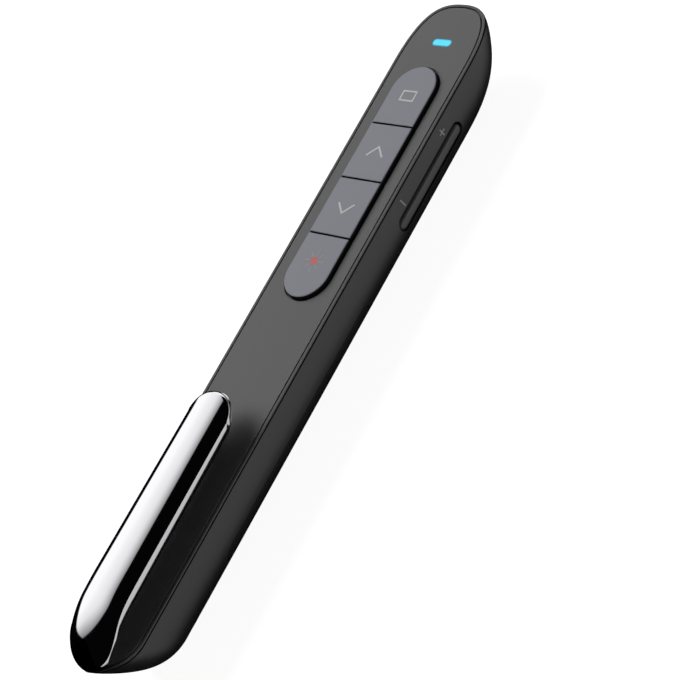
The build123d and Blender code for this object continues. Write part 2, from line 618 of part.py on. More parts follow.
def positive_contact():
    """Plated steel plate in front of the cell, with a pressed dimple."""
    plate = slab((10.3, -3.6, CELL_Z - 3.6), (10.6, 3.6, CELL_Z + 3.6))
    dimple = (Pos(12.6, 0, CELL_Z) * Sphere(2.8)) & slab((9.0, -3, 0), (10.45, 3, 20))
    return plate + dimple


# ---- receiver ----
def receiver_cap(body):
    """Grip of the receiver, which carries on the surface of the tail."""
    cap = body & slab((-FAR, -GRIP_HALF_WIDTH, RECEIVER_Z - GRIP_HALF_HEIGHT),
                      (RECEIVER_CAP_X, GRIP_HALF_WIDTH, RECEIVER_Z + GRIP_HALF_HEIGHT))
    notch = rod((FINGER_NOTCH_X, -5.0, RECEIVER_Z + 3.4), (0, 1, 0), FINGER_NOTCH_RADIUS, 10.0)
    return cap - notch


def receiver_shell():
    """Folded metal sleeve of the plug, with its two square windows."""
    half_w = PLUG_WIDTH / 2
    half_h = PLUG_HEIGHT / 2
    front = RECEIVER_CAP_X + PLUG_LENGTH
    sleeve = slab((RECEIVER_CAP_X, -half_w, RECEIVER_Z - half_h), (front, half_w, RECEIVER_Z + half_h))
    sleeve -= slab((RECEIVER_CAP_X - 1, -half_w + 0.3, RECEIVER_Z - half_h + 0.3),
                   (front + 1, half_w - 0.3, RECEIVER_Z + half_h - 0.3))
    for y in (-2.6, 2.6):
        sleeve -= slab((front - 6.6, y - 1.1, RECEIVER_Z - 5), (front - 4.4, y + 1.1, RECEIVER_Z + 5))
    return sleeve


def receiver_tongue():
    """Contact carrier inside the sleeve, with four contact strips."""
    front = RECEIVER_CAP_X + PLUG_LENGTH
    tongue = slab((RECEIVER_CAP_X, -5.6, RECEIVER_Z - 1.9), (front - 0.3, 5.6, RECEIVER_Z + 0.0))
    for y in (-3.6, -1.2, 1.2, 3.6):
        tongue += slab((front - 8.0, y - 0.5, RECEIVER_Z - 0.1), (front - 0.6, y + 0.5, RECEIVER_Z + 0.15))
    return tongue


def receiver_magnet():
    """Disc magnet at the end of the bay, which holds the plug in."""
    return rod((MAGNET_X, 0, RECEIVER_Z), (1, 0, 0), MAGNET_RADIUS, MAGNET_THICKNESS)


# ---- clip ----
def smooth(share):
    """An even S-shaped step from 0 to 1."""
    share = min(1.0, max(0.0, share))
    return share * share * (3 - 2 * share)


def tail_half_width(x):
    """Half width of the seam's outline at an X in the rounded tail, found by halving."""
    handle = TAIL_X + TAIL_RUN - TAIL_HANDLES[0] * TAIL_RUN
    low, high = 0.0, 1.0
    for _ in range(40):
        t = (low + high) / 2
        reached = (1 - t) ** 3 * (TAIL_X + TAIL_RUN) + 3 * (1 - t) ** 2 * t * handle + (3 - 2 * t) * t * t * TAIL_X
        low, high = (t, high) if reached > x else (low, t)
    return SEAM_HALF_WIDTH * ((1 - t) ** 3 + 3 * (1 - t) ** 2 * t + 3 * (1 - t) * t * t * TAIL_HANDLES[1])


def clip_half_width(x):
    """Half width of the clip: a slow taper, a flare at the tail, and never past the seam's outline."""
    ahead = max(0.0, (x - CLIP_NOSE_CENTRE_X) / CLIP_NOSE_RADIUS)
    straight = CLIP_NOSE_RADIUS + CLIP_TAPER * max(0.0, CLIP_NOSE_CENTRE_X - x)
    straight += CLIP_FLARE * smooth((CLIP_FLARE_X - x) / CLIP_FLARE_LENGTH)
    if x < CLIP_FLARE_X:
        limit = tail_half_width(x) - RIM_INSET
        straight = (straight ** -CLIP_BLEND + limit ** -CLIP_BLEND) ** (-1 / CLIP_BLEND)
    return straight * math.sqrt(1 - ahead ** 2)


def clip_section(x):
    """The clip's outline across the body: upright sides under a crowned top."""
    half = clip_half_width(x)
    ahead = max(0.0, (x - CLIP_NOSE_CENTRE_X) / CLIP_NOSE_RADIUS)
    fall = max(0.0, (CLIP_SLOPE_X - x) / (CLIP_SLOPE_X - CLIP_SLOPE_END_X))
    settled = smooth((CLIP_SHOULDER_X - x) / CLIP_SHOULDER_FALL)
    top = CLIP_TOP * (1 - fall ** CLIP_SLOPE_POWER)
    base = min(CLIP_SHOULDER * (1 - settled), top * CLIP_SHOULDER / CLIP_TOP)
    crown = (top - base) * (1 - ahead ** CLIP_CROWN_POWER) ** (1 / CLIP_CROWN_POWER)
    handle = CLIP_CROWN_HANDLE + (ROUND_HANDLE - CLIP_CROWN_HANDLE) * settled
    high = base + crown
    bend = base + handle * crown
    reach = handle * half
    edges = [
        Bezier((-half, base), (-half, bend), (-reach, high), (0, high)),
        Bezier((0, high), (reach, high), (half, bend), (half, base)),
        Line((half, base), (half, -1.0)),
        Line((half, -1.0), (-half, -1.0)),
        Line((-half, -1.0), (-half, base)),
    ]
    return Plane((x, 0, PANEL_Z), x_dir=(0, 1, 0), z_dir=(1, 0, 0)) * Face(Wire(edges))


def clip_form():
    """The whole clip, lofted from its sections and cut away underneath between its heel and its tip."""
    stations = [CLIP_NOSE_CENTRE_X + CLIP_NOSE_RADIUS * math.sin(math.radians(angle)) for angle in (
        89, 84, 77, 68, 57, 44, 30, 15, 0)]
    stations += [CLIP_SLOPE_X]
    stations += [CLIP_SLOPE_X + (CLIP_SLOPE_END_X - CLIP_SLOPE_X) * step / 14 for step in range(3, 14)]
    stations += [CLIP_SLOPE_END_X + 0.3]
    bar = loft([clip_section(x) for x in stations], ruled=True)
    arch = make_face(Polyline(
        (CLIP_FOOT_X, -2.0), (0.0, -2.0), (0.0, 5.4), (-19.0, 4.4), (-23.0, 3.85), (-29.0, CLIP_UNDERSIDE),
        (CLIP_HEEL_X, CLIP_UNDERSIDE), (CLIP_FOOT_X, 0.0), close=True))
    cut = extrude(Plane((0, FAR / 2, PANEL_Z), z_dir=(0, -1, 0), x_dir=(1, 0, 0)) * arch, FAR)
    return bar & slab((-FAR, -FAR, PANEL_Z), (FAR, FAR, 100)) - cut


def tenon(gap=0.0):
    """The tongue under the clip's foot, or with a gap the slot that takes it."""
    return slab((TENON_X - TENON_HALF_LENGTH - gap, -TENON_HALF_WIDTH - gap, FRAME_UNDERSIDE - 0.5 - 10 * gap),
                (TENON_X + TENON_HALF_LENGTH + gap, TENON_HALF_WIDTH + gap, PANEL_Z + 1.0))


def clip_root(form):
    """Rear end of the clip with a block under its heel and the tenon that snaps into the frame."""
    root = form & slab((-FAR, -FAR, 0), (CLIP_FLEX_X - FLEX_GAP / 2, FAR, 100))
    block = slab((CLIP_FOOT_X, -HEEL_BLOCK_HALF_WIDTH, PANEL_Z),
                 (TENON_X + 1.2, HEEL_BLOCK_HALF_WIDTH, PANEL_Z + HEEL_BLOCK_HEIGHT))
    return root + block + tenon()


def clip_blade(form):
    """Free part of the clip, with the grip nub under its end."""
    blade = form & slab((CLIP_FLEX_X + FLEX_GAP / 2, -FAR, 0), (FAR, FAR, 100))
    nub = rod((NUB_X, -NUB_LENGTH / 2, PANEL_Z + CLIP_UNDERSIDE + 0.4), (0, 1, 0), NUB_RADIUS, NUB_LENGTH)
    return blade + (nub & slab((-FAR, -FAR, PANEL_Z + NUB_LOW), (FAR, FAR, PANEL_Z + CLIP_UNDERSIDE + 0.6)))


def rocker_pin():
    """Steel pin that the volume rocker tilts on."""
    return rod((ROCKER_X, ROCKER_PIN_Y, PIN_LOW_Z), (0, 0, 1), ROCKER_PIN_RADIUS, PIN_HIGH_Z - PIN_LOW_Z)


# ---- all sub-parts ----
def build():
    """Every sub-part by node name."""
    body = hull()
    cavity = hull(WALL, open_top=True)
    form = clip_form()
    parts = {
        "lower_housing": lower_housing(body, cavity),
        "upper_frame": upper_frame(),
        "top_panel": top_panel(),
        "main_board": main_board(),
        "key_switches": key_switches(),
        "side_switches": side_switches(),
        "power_switch": power_switch(),
        "controller_chip": chip(25.0, 0, 6.4, 4.4, 1.2),
        "radio_chip": chip(44.0, 0, 4.0, 4.0, 1.0),
        "crystal_can": crystal_can(),
        "board_capacitors": board_capacitors(),
        "board_screws": board_screws(),
        "led_chip": led_chip(),
        "led_light_pipe": led_light_pipe(),
        "laser_barrel": laser_barrel(),
        "laser_diode": laser_diode(),
        "laser_lens": laser_lens(),
        "laser_window": laser_window(),
        "battery_cell": battery_cell(),
        "battery_spring": battery_spring(),
        "negative_contact": negative_contact(),
        "positive_contact": positive_contact(),
        "battery_door": battery_door(body),
        "receiver_cap": receiver_cap(body),
        "receiver_shell": receiver_shell(),
        "receiver_tongue": receiver_tongue(),
        "receiver_magnet": receiver_magnet(),
        "rocker_pin": rocker_pin(),
        "volume_rocker": volume_rocker(),
        "side_plungers": side_plungers(),
        "power_knob": power_knob(),
        "power_lever": power_lever(),
        "clip_root": clip_root(form),
        "clip_blade": clip_blade(form),
    }
    for index, name in enumerate(("laser", "down", "up", "stop")):
        parts["key_" + name] = key_cap(index)
        parts["plunger_" + name] = key_plunger(index)
    return parts


if __name__ == "__main__":
    for name, shape in build().items():
        export_step(shape, "parts/" + name + ".step")
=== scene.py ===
"""Looks of a wireless presentation clicker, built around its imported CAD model."""
import logging
import math
from dataclasses import dataclass
from enum import Enum

import bmesh
import bpy
import numpy as np
from mathutils import Matrix, Vector


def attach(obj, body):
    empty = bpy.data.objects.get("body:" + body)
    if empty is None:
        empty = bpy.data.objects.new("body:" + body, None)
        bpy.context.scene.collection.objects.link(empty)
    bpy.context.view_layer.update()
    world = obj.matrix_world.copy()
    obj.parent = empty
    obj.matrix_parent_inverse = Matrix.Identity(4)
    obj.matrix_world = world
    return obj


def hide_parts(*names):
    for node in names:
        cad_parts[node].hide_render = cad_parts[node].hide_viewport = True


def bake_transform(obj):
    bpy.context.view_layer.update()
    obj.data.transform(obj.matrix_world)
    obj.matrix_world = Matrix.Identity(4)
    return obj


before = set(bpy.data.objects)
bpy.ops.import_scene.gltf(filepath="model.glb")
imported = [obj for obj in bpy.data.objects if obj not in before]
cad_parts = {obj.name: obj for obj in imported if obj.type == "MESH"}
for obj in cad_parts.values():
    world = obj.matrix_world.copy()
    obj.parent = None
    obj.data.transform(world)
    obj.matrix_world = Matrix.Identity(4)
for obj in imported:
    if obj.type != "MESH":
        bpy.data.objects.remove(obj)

LOG = logging.getLogger("clicker")
MM = 0.001
WELD = 1e-7                   # points of a mesh closer than this, in metres, are one
PANEL_Z = 13.5                # height of the key panel's face, in millimetres
KEY_TOP_Z = PANEL_Z + 0.82    # height of the keys' tops

# Sockets of the Mix node, by number because their names repeat for each kind of data.
FACTOR, FLOAT_A, FLOAT_B, COLOUR_A, COLOUR_B = 0, 2, 3, 6, 7
MIXED_COLOUR = 2

Pair = tuple[float, float]
Triple = tuple[float, float, float]
Quad = tuple[float, float, float, float]
Array = np.ndarray
Tree, Node, Socket = bpy.types.NodeTree, bpy.types.Node, bpy.types.NodeSocket
Links = dict[str | int, Node | Socket]
Settings = dict[str | int, object]


# ---- small tools ----
def linear(hex_colour: str) -> Quad:
    """Turns an sRGB hex colour into linear light.

    Args:
        hex_colour: six hex digits, with or without a hash.

    Returns:
        Red, green, blue and an alpha of 1, in linear light.
    """
    digits = hex_colour.lstrip("#")
    values = np.array([int(digits[i:i + 2], 16) for i in (0, 2, 4)]) / 255
    light = np.where(values <= 0.04045, values / 12.92, ((values + 0.055) / 1.055) ** 2.4)
    return (float(light[0]), float(light[1]), float(light[2]), 1.0)


def fit_node(tree: Tree, node: Node, settings: Settings | None = None,
             links: Links | None = None) -> Node:
    """Gives a node its settings and its incoming links.

    Args:
        tree: the node's tree.
        node: the node.
        settings: properties by name, or values of input sockets by name or number.
        links: by an input's name or number, the socket that feeds it, or a node for its first one.

    Returns:
        The same node.
    """
    for key, value in (settings or {}).items():
        if isinstance(key, str) and key in node.bl_rna.properties:
            setattr(node, key, value)
        else:
            node.inputs[key].default_value = value
    for key, source in (links or {}).items():
        socket = source.outputs[0] if isinstance(source, Node) else source
        tree.links.new(socket, node.inputs[key])
    return node


def add_node(tree: Tree, kind: str, settings: Settings | None = None,
             links: Links | None = None) -> Node:
    """Adds a shader node by its type name without "ShaderNode", with settings and links."""
    return fit_node(tree, tree.nodes.new("ShaderNode" + kind), settings, links)


def new_material(name: str) -> tuple[bpy.types.Material, Tree, Node]:
    """Starts a material, and returns it with its node tree and its Principled shader."""
    made = bpy.data.materials.new(name)
    made.use_nodes = True
    return made, made.node_tree, made.node_tree.nodes["Principled BSDF"]


def new_object(name: str, data: bpy.types.ID) -> bpy.types.Object:
    """Makes an object of a mesh, a lamp or a camera, and links it to the scene."""
    made = bpy.data.objects.new(name, data)
    bpy.context.scene.collection.objects.link(made)
    return made


def loft_mesh(name: str, strips: list[Array], closed: bool = False,
              smooth_angle: float = 35.0) -> bpy.types.Object:
    """Makes one mesh of lofted strips, each a stack of closed loops joined by quads.

    Point (i, j) of a strip joins (i, j + 1) round its loop and (i + 1, j) on the next loop. The
    first and last loops of an open strip are filled.

    Args:
        name: the object's name.
        strips: arrays of shape (loops, points, 3) in millimetres.
        closed: whether the last loop of a strip joins its first.
        smooth_angle: edges sharper than this, in degrees, stay sharp.

    Returns:
        The new object, at the origin, in metres.
    """
    points, faces, start = [], [], 0
    for strip in strips:
        loops, count = strip.shape[:2]
        number = start + np.arange(loops * count).reshape(loops, count)
        after = np.roll(number, -1, axis=1)
        upper = np.roll(number, -1, axis=0)
        upper_after = np.roll(after, -1, axis=0)
        quads = np.stack([number, after, upper_after, upper], axis=-1)
        faces += quads[: loops if closed else loops - 1].reshape(-1, 4).tolist()
        if not closed:
            faces += [number[0][::-1].tolist(), number[-1].tolist()]
        points.append(strip.reshape(-1, 3) * MM)
        start += loops * count
    mesh = bpy.data.meshes.new(name)
    mesh.from_pydata(np.vstack(points).tolist(), [], faces)
    work = bmesh.new()
    work.from_mesh(mesh)
    bmesh.ops.remove_doubles(work, verts=work.verts, dist=WELD)
    bmesh.ops.recalc_face_normals(work, faces=work.faces)
    work.to_mesh(mesh)
    work.free()
    mesh.polygons.foreach_set("use_smooth", np.ones(len(mesh.polygons), dtype=bool))
    mesh.set_sharp_from_angle(angle=math.radians(smooth_angle))
    return new_object(name, mesh)


def stroke(path: Array, width: float, low: float, high: float, closed: bool = False) -> Array:
    """Carries a rectangle along a flat path, with mitred corners.

    At each corner the sides stand half the width away, divided by the cosine of half the turn.

    Args:
        path: points of shape (n, 2), in millimetres.
        width: the stroke's width.
        low: height of its underside.
        high: height of its top.
        closed: whether the path comes back to its start.

    Returns:
        Loops of four points for loft_mesh.
    """
    least_cosine = 0.3    # keeps the mitre of a very sharp corner short
    ahead = np.roll(path, -1, axis=0) - path
    behind = path - np.roll(path, 1, axis=0)
    if not closed:
        ahead[-1] = behind[-1]
        behind[0] = ahead[0]
    ahead = ahead / np.linalg.norm(ahead, axis=1, keepdims=True)
    behind = behind / np.linalg.norm(behind, axis=1, keepdims=True)
    normal = np.stack([-(ahead + behind)[:, 1], (ahead + behind)[:, 0]], axis=1)
    normal /= np.linalg.norm(normal, axis=1, keepdims=True)
    cosine = np.abs(normal[:, 0] * -ahead[:, 1] + normal[:, 1] * ahead[:, 0])
    side = normal * (width / 2 / np.maximum(cosine, least_cosine))[:, None]
    left, right = path + side, path - side
    corners = zip([right, left, left, right], [high, high, low, low])
    return np.stack([np.column_stack([c, np.full(len(path), h)]) for c, h in corners], axis=1)


def prism(outline: Array, low: float, high: float) -> Array:
    """Stands a flat outline up between two heights, as two loops for loft_mesh."""
    return np.stack([np.column_stack([outline, np.full(len(outline), h)]) for h in (low, high)])


def circle(centre: Pair, radius: float, count: int = 32) -> Array:
    """Points round a circle in the XY plane."""
    angle = np.linspace(0, 2 * np.pi, count, endpoint=False)
    return np.column_stack([centre[0] + radius * np.cos(angle), centre[1] + radius * np.sin(angle)])


def eased(share: Array) -> Array:
    """An even S-shaped step from 0 to 1: three times the square less twice the cube."""
    share = np.clip(share, 0.0, 1.0)
    return share * share * (3 - 2 * share)


# ---- finishes ----
class Texture(Enum):
    """How a surface was made, which sets the form of its fine relief."""

    MOULDED = "even spark-eroded grain from the mould"
    BRUSHED = "hair lines along the part"
    TURNED = "fine rings round the part's long axis"
    POLISHED = "almost no relief, with a slow ripple"


@dataclass(frozen=True)
class Finish:
    """One material with its colour, gloss and relief.

    Attributes:
        name: common name of the material and how it was made.
        colour: sRGB hex colour.
        roughness: roughness of the base.
        texture: the form of its relief.
        grain_mm: size of one grain, or the spacing of the lines.
        relief_mm: depth of the relief.
        tone: how far the colour varies, as a share.
        metallic: 1 for metals.
        ior: refraction of a dielectric.
        coat: strength of a clear lacquer.
        side_shade_colour: painted shade, a colour below a height that stands in for the shade on a
            part's side walls, if there is one.
        side_shade_z: that height, in millimetres.
        transmission: share of light let through.
        lengths: length of a brushed line and of a turned ring, in spacings.
        spread: share by which the relief varies the roughness.
        bump: strength of the relief in the shading.
    """

    name: str
    colour: str
    roughness: float
    texture: Texture = Texture.MOULDED
    grain_mm: float = 0.25
    relief_mm: float = 0.01
    tone: float = 0.06
    metallic: float = 0.0
    ior: float = 1.5
    coat: float = 0.0
    side_shade_colour: str = ""
    side_shade_z: float = 0.0
    transmission: float = 0.0
    lengths: Pair = (60, 25)
    spread: float = 0.15
    bump: float = 0.6

    def pattern(self, tree: Tree) -> Socket:
        """Adds the relief's noise, stretched as its texture asks, and returns its height."""
        place = add_node(tree, "TexCoord").outputs["Object"]
        fine = 1 / (self.grain_mm * MM)
        hair, ring = (fine / length for length in self.lengths)
        stretch = {Texture.BRUSHED: (hair, fine, fine), Texture.TURNED: (fine, ring, ring)}
        scale = stretch.get(self.texture, (fine, fine, fine))
        scaled = add_node(tree, "Mapping", {"Scale": scale}, {"Vector": place})
        noise = add_node(tree, "TexNoise", {"Scale": 1.0, "Detail": 3.0, "Roughness": 0.55},
                         {"Vector": scaled})
        return noise.outputs["Fac"]

    def paint_side_shade(self, tree: Tree, colour: Socket) -> Socket:
        """Paints shade: swaps the colour for the side-shade colour below its height, so that the
        side walls read dark.
        """
        place = add_node(tree, "TexCoord").outputs["Object"]
        height = add_node(tree, "SeparateXYZ", links={0: place}).outputs["Z"]
        above = add_node(tree, "Math", {"operation": "GREATER_THAN", 1: self.side_shade_z * MM},
                         {0: height})
        mixed = add_node(tree, "Mix", {"data_type": "RGBA", COLOUR_A: linear(self.side_shade_colour)},
                         {FACTOR: above, COLOUR_B: colour})
        return mixed.outputs[MIXED_COLOUR]

    def material(self) -> bpy.types.Material:
        """Builds the material: noise drives its relief, its tone and its roughness."""
        made, tree, shader = new_material(self.name)
        height = self.pattern(tree)
        base = linear(self.colour)
        dark = [c * (1 - self.tone) for c in base[:3]] + [1.0]
        light = [min(1.0, c * (1 + self.tone)) for c in base[:3]] + [1.0]
        tone = add_node(tree, "Mix", {"data_type": "RGBA", COLOUR_A: dark, COLOUR_B: light},
                        {FACTOR: height})
        colour = tone.outputs[MIXED_COLOUR]
        # Painted shade: below a height near its top the part turns near-black, standing in for
        # shade on its side walls.
        if self.side_shade_colour:
            colour = self.paint_side_shade(tree, colour)
        least, most = self.roughness * (1 - self.spread), self.roughness * (1 + self.spread)
        spread = add_node(tree, "MapRange", {"To Min": least, "To Max": most}, {"Value": height})
        bump = add_node(tree, "Bump", {"Strength": self.bump, "Distance": self.relief_mm * MM},
                        {"Height": height})
        fit_node(tree, shader, {
            "Metallic": self.metallic, "IOR": self.ior, "Coat Weight": self.coat,
            "Coat Roughness": 0.03, "Transmission Weight": self.transmission,
        }, {"Base Color": colour, "Roughness": spread, "Normal": bump})
        return made


# Real mould grain is about 0.05 mm and real hair lines are 0.03 mm apart. Both are drawn three to
# five times coarser, so that they show.

# ABS with a spark-eroded satin skin: an even, slightly pebbled black, grey in grazing light.
HOUSING_ABS = Finish("abs_moulded_satin_black", "1f1f20", 0.42, grain_mm=0.22, relief_mm=0.008)
# The same ABS in a lighter grey for the bezel, so that its rim matches the panel.
BEZEL_ABS = Finish("abs_moulded_satin_grey", "454545", 0.4, grain_mm=0.2, relief_mm=0.006)
# Anodised aluminium, brushed along its length: soft grey, with a stretched highlight.
PANEL_ALUMINIUM = Finish("aluminium_anodised_brushed", "6e6e6e", 0.5, Texture.BRUSHED, 0.14, 0.004,
                         0.07)
# Painted ABS keys: a cool satin grey, turned near-black just below their tops as painted shade on
# their side walls.
KEY_ABS = Finish("abs_painted_blue_grey", "a0a0ab", 0.45, grain_mm=0.2, relief_mm=0.004, tone=0.03,
                 side_shade_colour="141416", side_shade_z=KEY_TOP_Z - 0.12)
# Polycarbonate rocker: fine grain with a touch more shine than the housing.
ROCKER_PC = Finish("polycarbonate_moulded_grey", "4a4a4a", 0.36, grain_mm=0.2, relief_mm=0.005)
# ABS slider: a shade lighter than the wall it slides in.
SLIDER_ABS = Finish("abs_moulded_slider", "3c3c3e", 0.4, grain_mm=0.18, relief_mm=0.006)
# Dark chrome over ABS: a mirror, a little dimmed, with a slow ripple from the moulding.
DARK_CHROME = Finish("dark_chrome_plated_abs", "b4b4b6", 0.05, Texture.POLISHED, 9.0, 0.01, 0.02,
                     metallic=1.0)
# Pad-printed inks: flat and chalky, with crisp edges.
PRINT_WHITE = Finish("pad_printed_white_ink", "f2f2f0", 0.5, grain_mm=0.15, relief_mm=0.002,
                     tone=0.03)
PRINT_GREY = Finish("pad_printed_grey_ink", "b4b4b2", 0.5, grain_mm=0.15, relief_mm=0.002,
                    tone=0.04)
PRINT_RED = Finish("pad_printed_red_ink", "ff7f7c", 0.5, grain_mm=0.15, relief_mm=0.002, tone=0.04)
# Solder mask over a glass fibre board: mottled green with a soft shine.
SOLDER_MASK = Finish("glass_epoxy_solder_mask", "0e4a2a", 0.32, grain_mm=0.6, relief_mm=0.01,
                     tone=0.25)
# Moulded epoxy of the chips: dull black.
CHIP_EPOXY = Finish("epoxy_transfer_moulded", "1c1c1e", 0.55, grain_mm=0.08, relief_mm=0.004)
# Nickel-plated steel: warm grey metal with faint drawing lines.
NICKEL = Finish("steel_nickel_plated", "b9b8b2", 0.24, Texture.BRUSHED, 0.1, 0.002, 0.05,
                metallic=1.0)
# Turned brass: yellow metal with rings round its axis.
BRASS = Finish("brass_turned", "c8a050", 0.25, Texture.TURNED, 0.12, 0.004, 0.06, metallic=1.0)
# Zinc-plated screws: cold grey metal, a little dull.
ZINC = Finish("steel_zinc_plated", "9a9c9e", 0.35, grain_mm=0.15, relief_mm=0.003, metallic=1.0)
# Fired ceramic of the capacitors: matt tan.
CERAMIC = Finish("ceramic_fired_tan", "a98a62", 0.5, grain_mm=0.1, relief_mm=0.004)
# Nylon of the light's package, and of stems and levers: waxy, half matt.
PACKAGE_WHITE = Finish("nylon_moulded_white", "eeeeea", 0.45, grain_mm=0.1, relief_mm=0.003)
NYLON_BLACK = Finish("nylon_moulded_black", "222224", 0.5, grain_mm=0.15, relief_mm=0.004)
# Shrunk sleeve of the cell: dark blue film with a thin gloss.
CELL_WRAP = Finish("pvc_shrunk_sleeve", "26324a", 0.3, Texture.POLISHED, 1.5, 0.01, 0.06, coat=0.4)
# Polished glass: clear, seen by its reflections.
GLASS = Finish("glass_polished", "f6fafc", 0.02, Texture.POLISHED, 2.0, 0.0005, 0.01,
               transmission=1.0)


@dataclass(frozen=True)
class LitPill:
    """Tinted acrylic light pipe, lit from below: a bright cyan pill with a deeper rim.

    Attributes:
        centre_x: middle of the pill, in millimetres.
        straight: half the straight length across the body.
        core: half width of the bright middle.
        edge: half width where the rim is fully dark.
        colours: colours of the lit middle, of the rim and of the acrylic itself.
        glow: strength of the light.
    """

    centre_x: float = 65.45
    straight: float = 1.575
    core: float = 0.52
    edge: float = 0.78
    colours: tuple[str, str, str] = ("30dcfa", "2f7fa0", "0e3848")
    glow: float = 0.95

    def material(self) -> bpy.types.Material:
        """Colours each point by its distance from the pill's middle line, clamped at its ends."""
        made, tree, shader = new_material("acrylic_light_pipe_cyan")
        place = add_node(tree, "TexCoord").outputs["Object"]
        moved = add_node(tree, "Mapping", {"Location": (-self.centre_x * MM, 0, 0)},
                         {"Vector": place})
        parts = add_node(tree, "SeparateXYZ", links={0: moved})
        side = add_node(tree, "Math", {"operation": "ABSOLUTE"}, {0: parts.outputs["Y"]})
        past = add_node(tree, "Math", {"operation": "SUBTRACT", 1: self.straight * MM},
                        {0: side})
        over = add_node(tree, "Math", {"operation": "MAXIMUM", 1: 0.0}, {0: past})
        flat = add_node(tree, "CombineXYZ", links={"X": parts.outputs["X"], "Y": over})
        far = add_node(tree, "VectorMath", {"operation": "LENGTH"}, {0: flat})
        rim = add_node(tree, "MapRange", {"From Min": self.core * MM, "From Max": self.edge * MM},
                       {"Value": far.outputs["Value"]})
        middle, rim_colour, tint = (linear(colour) for colour in self.colours)
        colour = add_node(tree, "Mix", {"data_type": "RGBA", COLOUR_A: middle,
                                        COLOUR_B: rim_colour}, {FACTOR: rim})
        fit_node(tree, shader, {"Base Color": tint, "Emission Strength": self.glow,
                                "Roughness": 0.2},
                 {"Emission Color": colour.outputs[MIXED_COLOUR]})
        return made


class Wardrobe:
    """Makes each finish once and dresses pieces in it."""

    def __init__(self) -> None:
        """Starts with no materials made."""
        self.made: dict[str, bpy.types.Material] = {}

    def dress(self, piece: bpy.types.Object, finish: Finish | LitPill) -> None:
        """Puts a finish on every slot of a piece.

        Args:
            piece: a new piece or a CAD node's object.
            finish: the finish to wear.
        """
        key = repr(finish)
        if key not in self.made:
            self.made[key] = finish.material()
        if not piece.material_slots:
            piece.data.materials.append(self.made[key])
        for each in piece.material_slots:
            each.material = self.made[key]

    def dress_nodes(self, finishes: dict[str, Finish | LitPill]) -> None:
        """Dresses CAD nodes and reports each one.

        Args:
            finishes: the finish of each node, by the node's name.
        """
        for node, finish in finishes.items():
            self.dress(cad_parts[node], finish)
            LOG.info("CAD node %s dressed", node)

    def add(self, piece: bpy.types.Object, finish: Finish, body: str,
            slot: str) -> bpy.types.Object:
        """Dresses a new piece, sets it on its body and reports it.

        Args:
            piece: the new piece.
            finish: its finish.
            body: the CAD body that carries it.
            slot: not used.

        Returns:
            The same piece.
        """
        self.dress(piece, finish)
        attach(piece, body)
        LOG.info("piece %s on %s, %d faces", piece.name, body, len(piece.data.polygons))
        return piece


# ---- the object's assemblies ----
@dataclass
class Casing:
    """Housing, bezel and panel, with the printed signs on the side walls. Lengths in millimetres.

    Attributes:
        shoulder_half: half width of the body at its widest.
        shoulder_depth: depth below the panel of the widest line.
        lean: how much narrower the wall is at the seam.
        seam_depth: depth of the seam.
        ink: heights of the ink's underside, sunk so that no gap opens, and of its top.
        plus: place along the body, depth and arm's length of the plus sign.
        minus: place and depths of the ends of the minus sign.
        power_on: the same for the slider's sign for on, a bar.
        power_off: place, depth and radius of its sign for off, a ring.
        lines: widths of the lines of the volume signs, the bar and the ring.
    """

    shoulder_half: float = 9.95
    shoulder_depth: float = 5.0
    lean: float = 0.3
    seam_depth: float = 0.55
    ink: Pair = (-0.02, 0.02)
    plus: Triple = (46.6, 2.5, 0.85)
    minus: Triple = (30.1, 1.65, 3.5)
    power_on: Triple = (41.3, 2.6, 3.8)
    power_off: Triple = (35.7, 3.2, 0.55)
    lines: Triple = (0.3, 0.26, 0.24)

    def wall(self, depth: Array) -> Array:
        """Half width of the wall: the shoulder's less the lean times the squared height share."""
        share = (self.shoulder_depth - depth) / (self.shoulder_depth - self.seam_depth)
        return self.shoulder_half - self.lean * share ** 2

    def on_wall(self, path: Array, width: float, side: int, closed: bool = False) -> Array:
        """Prints a line on a side wall.

        A point's X stays, its Y is taken as depth below the panel, and its height stands off the
        wall.

        Args:
            path: points of (x, depth).
            width: the line's width.
            side: 1 for the left wall and -1 for the right one.
            closed: whether the line comes back to its start.

        Returns:
            The line's loops, in place.
        """
        strip = stroke(path, width, *self.ink, closed)
        x, depth, height = np.moveaxis(strip, -1, 0)
        return np.stack([x, side * (self.wall(depth) + height), PANEL_Z - depth], axis=-1)

    def build(self, wardrobe: Wardrobe) -> None:
        """Dresses the casing's nodes and prints its signs."""
        wardrobe.dress_nodes({
            "lower_housing": HOUSING_ABS, "upper_frame": BEZEL_ABS, "top_panel": PANEL_ALUMINIUM,
            "led_light_pipe": LitPill(), "rocker_pin": NICKEL,
        })
        x, depth, arm = self.plus
        plus = [np.array([[x - arm, depth], [x + arm, depth]]),
                np.array([[x, depth - arm], [x, depth + arm]])]
        minus, bar = ([[x, upper], [x, lower]] for x, upper, lower in (self.minus, self.power_on))
        ring = circle(self.power_off[:2], self.power_off[2], 24)
        volume_line, bar_line, ring_line = self.lines
        signs = {
            "volume_plus_print": [self.on_wall(line, volume_line, -1) for line in plus],
            "volume_minus_print": [self.on_wall(np.array(minus), volume_line, -1)],
            "power_on_print": [self.on_wall(np.array(bar), bar_line, 1)],
            "power_off_print": [self.on_wall(ring, ring_line, 1, closed=True)],
        }
        for name, strips in signs.items():
            sign = loft_mesh(name, strips, closed=name == "power_off_print")
            wardrobe.add(sign, PRINT_GREY, "casing", "shell_plastic")


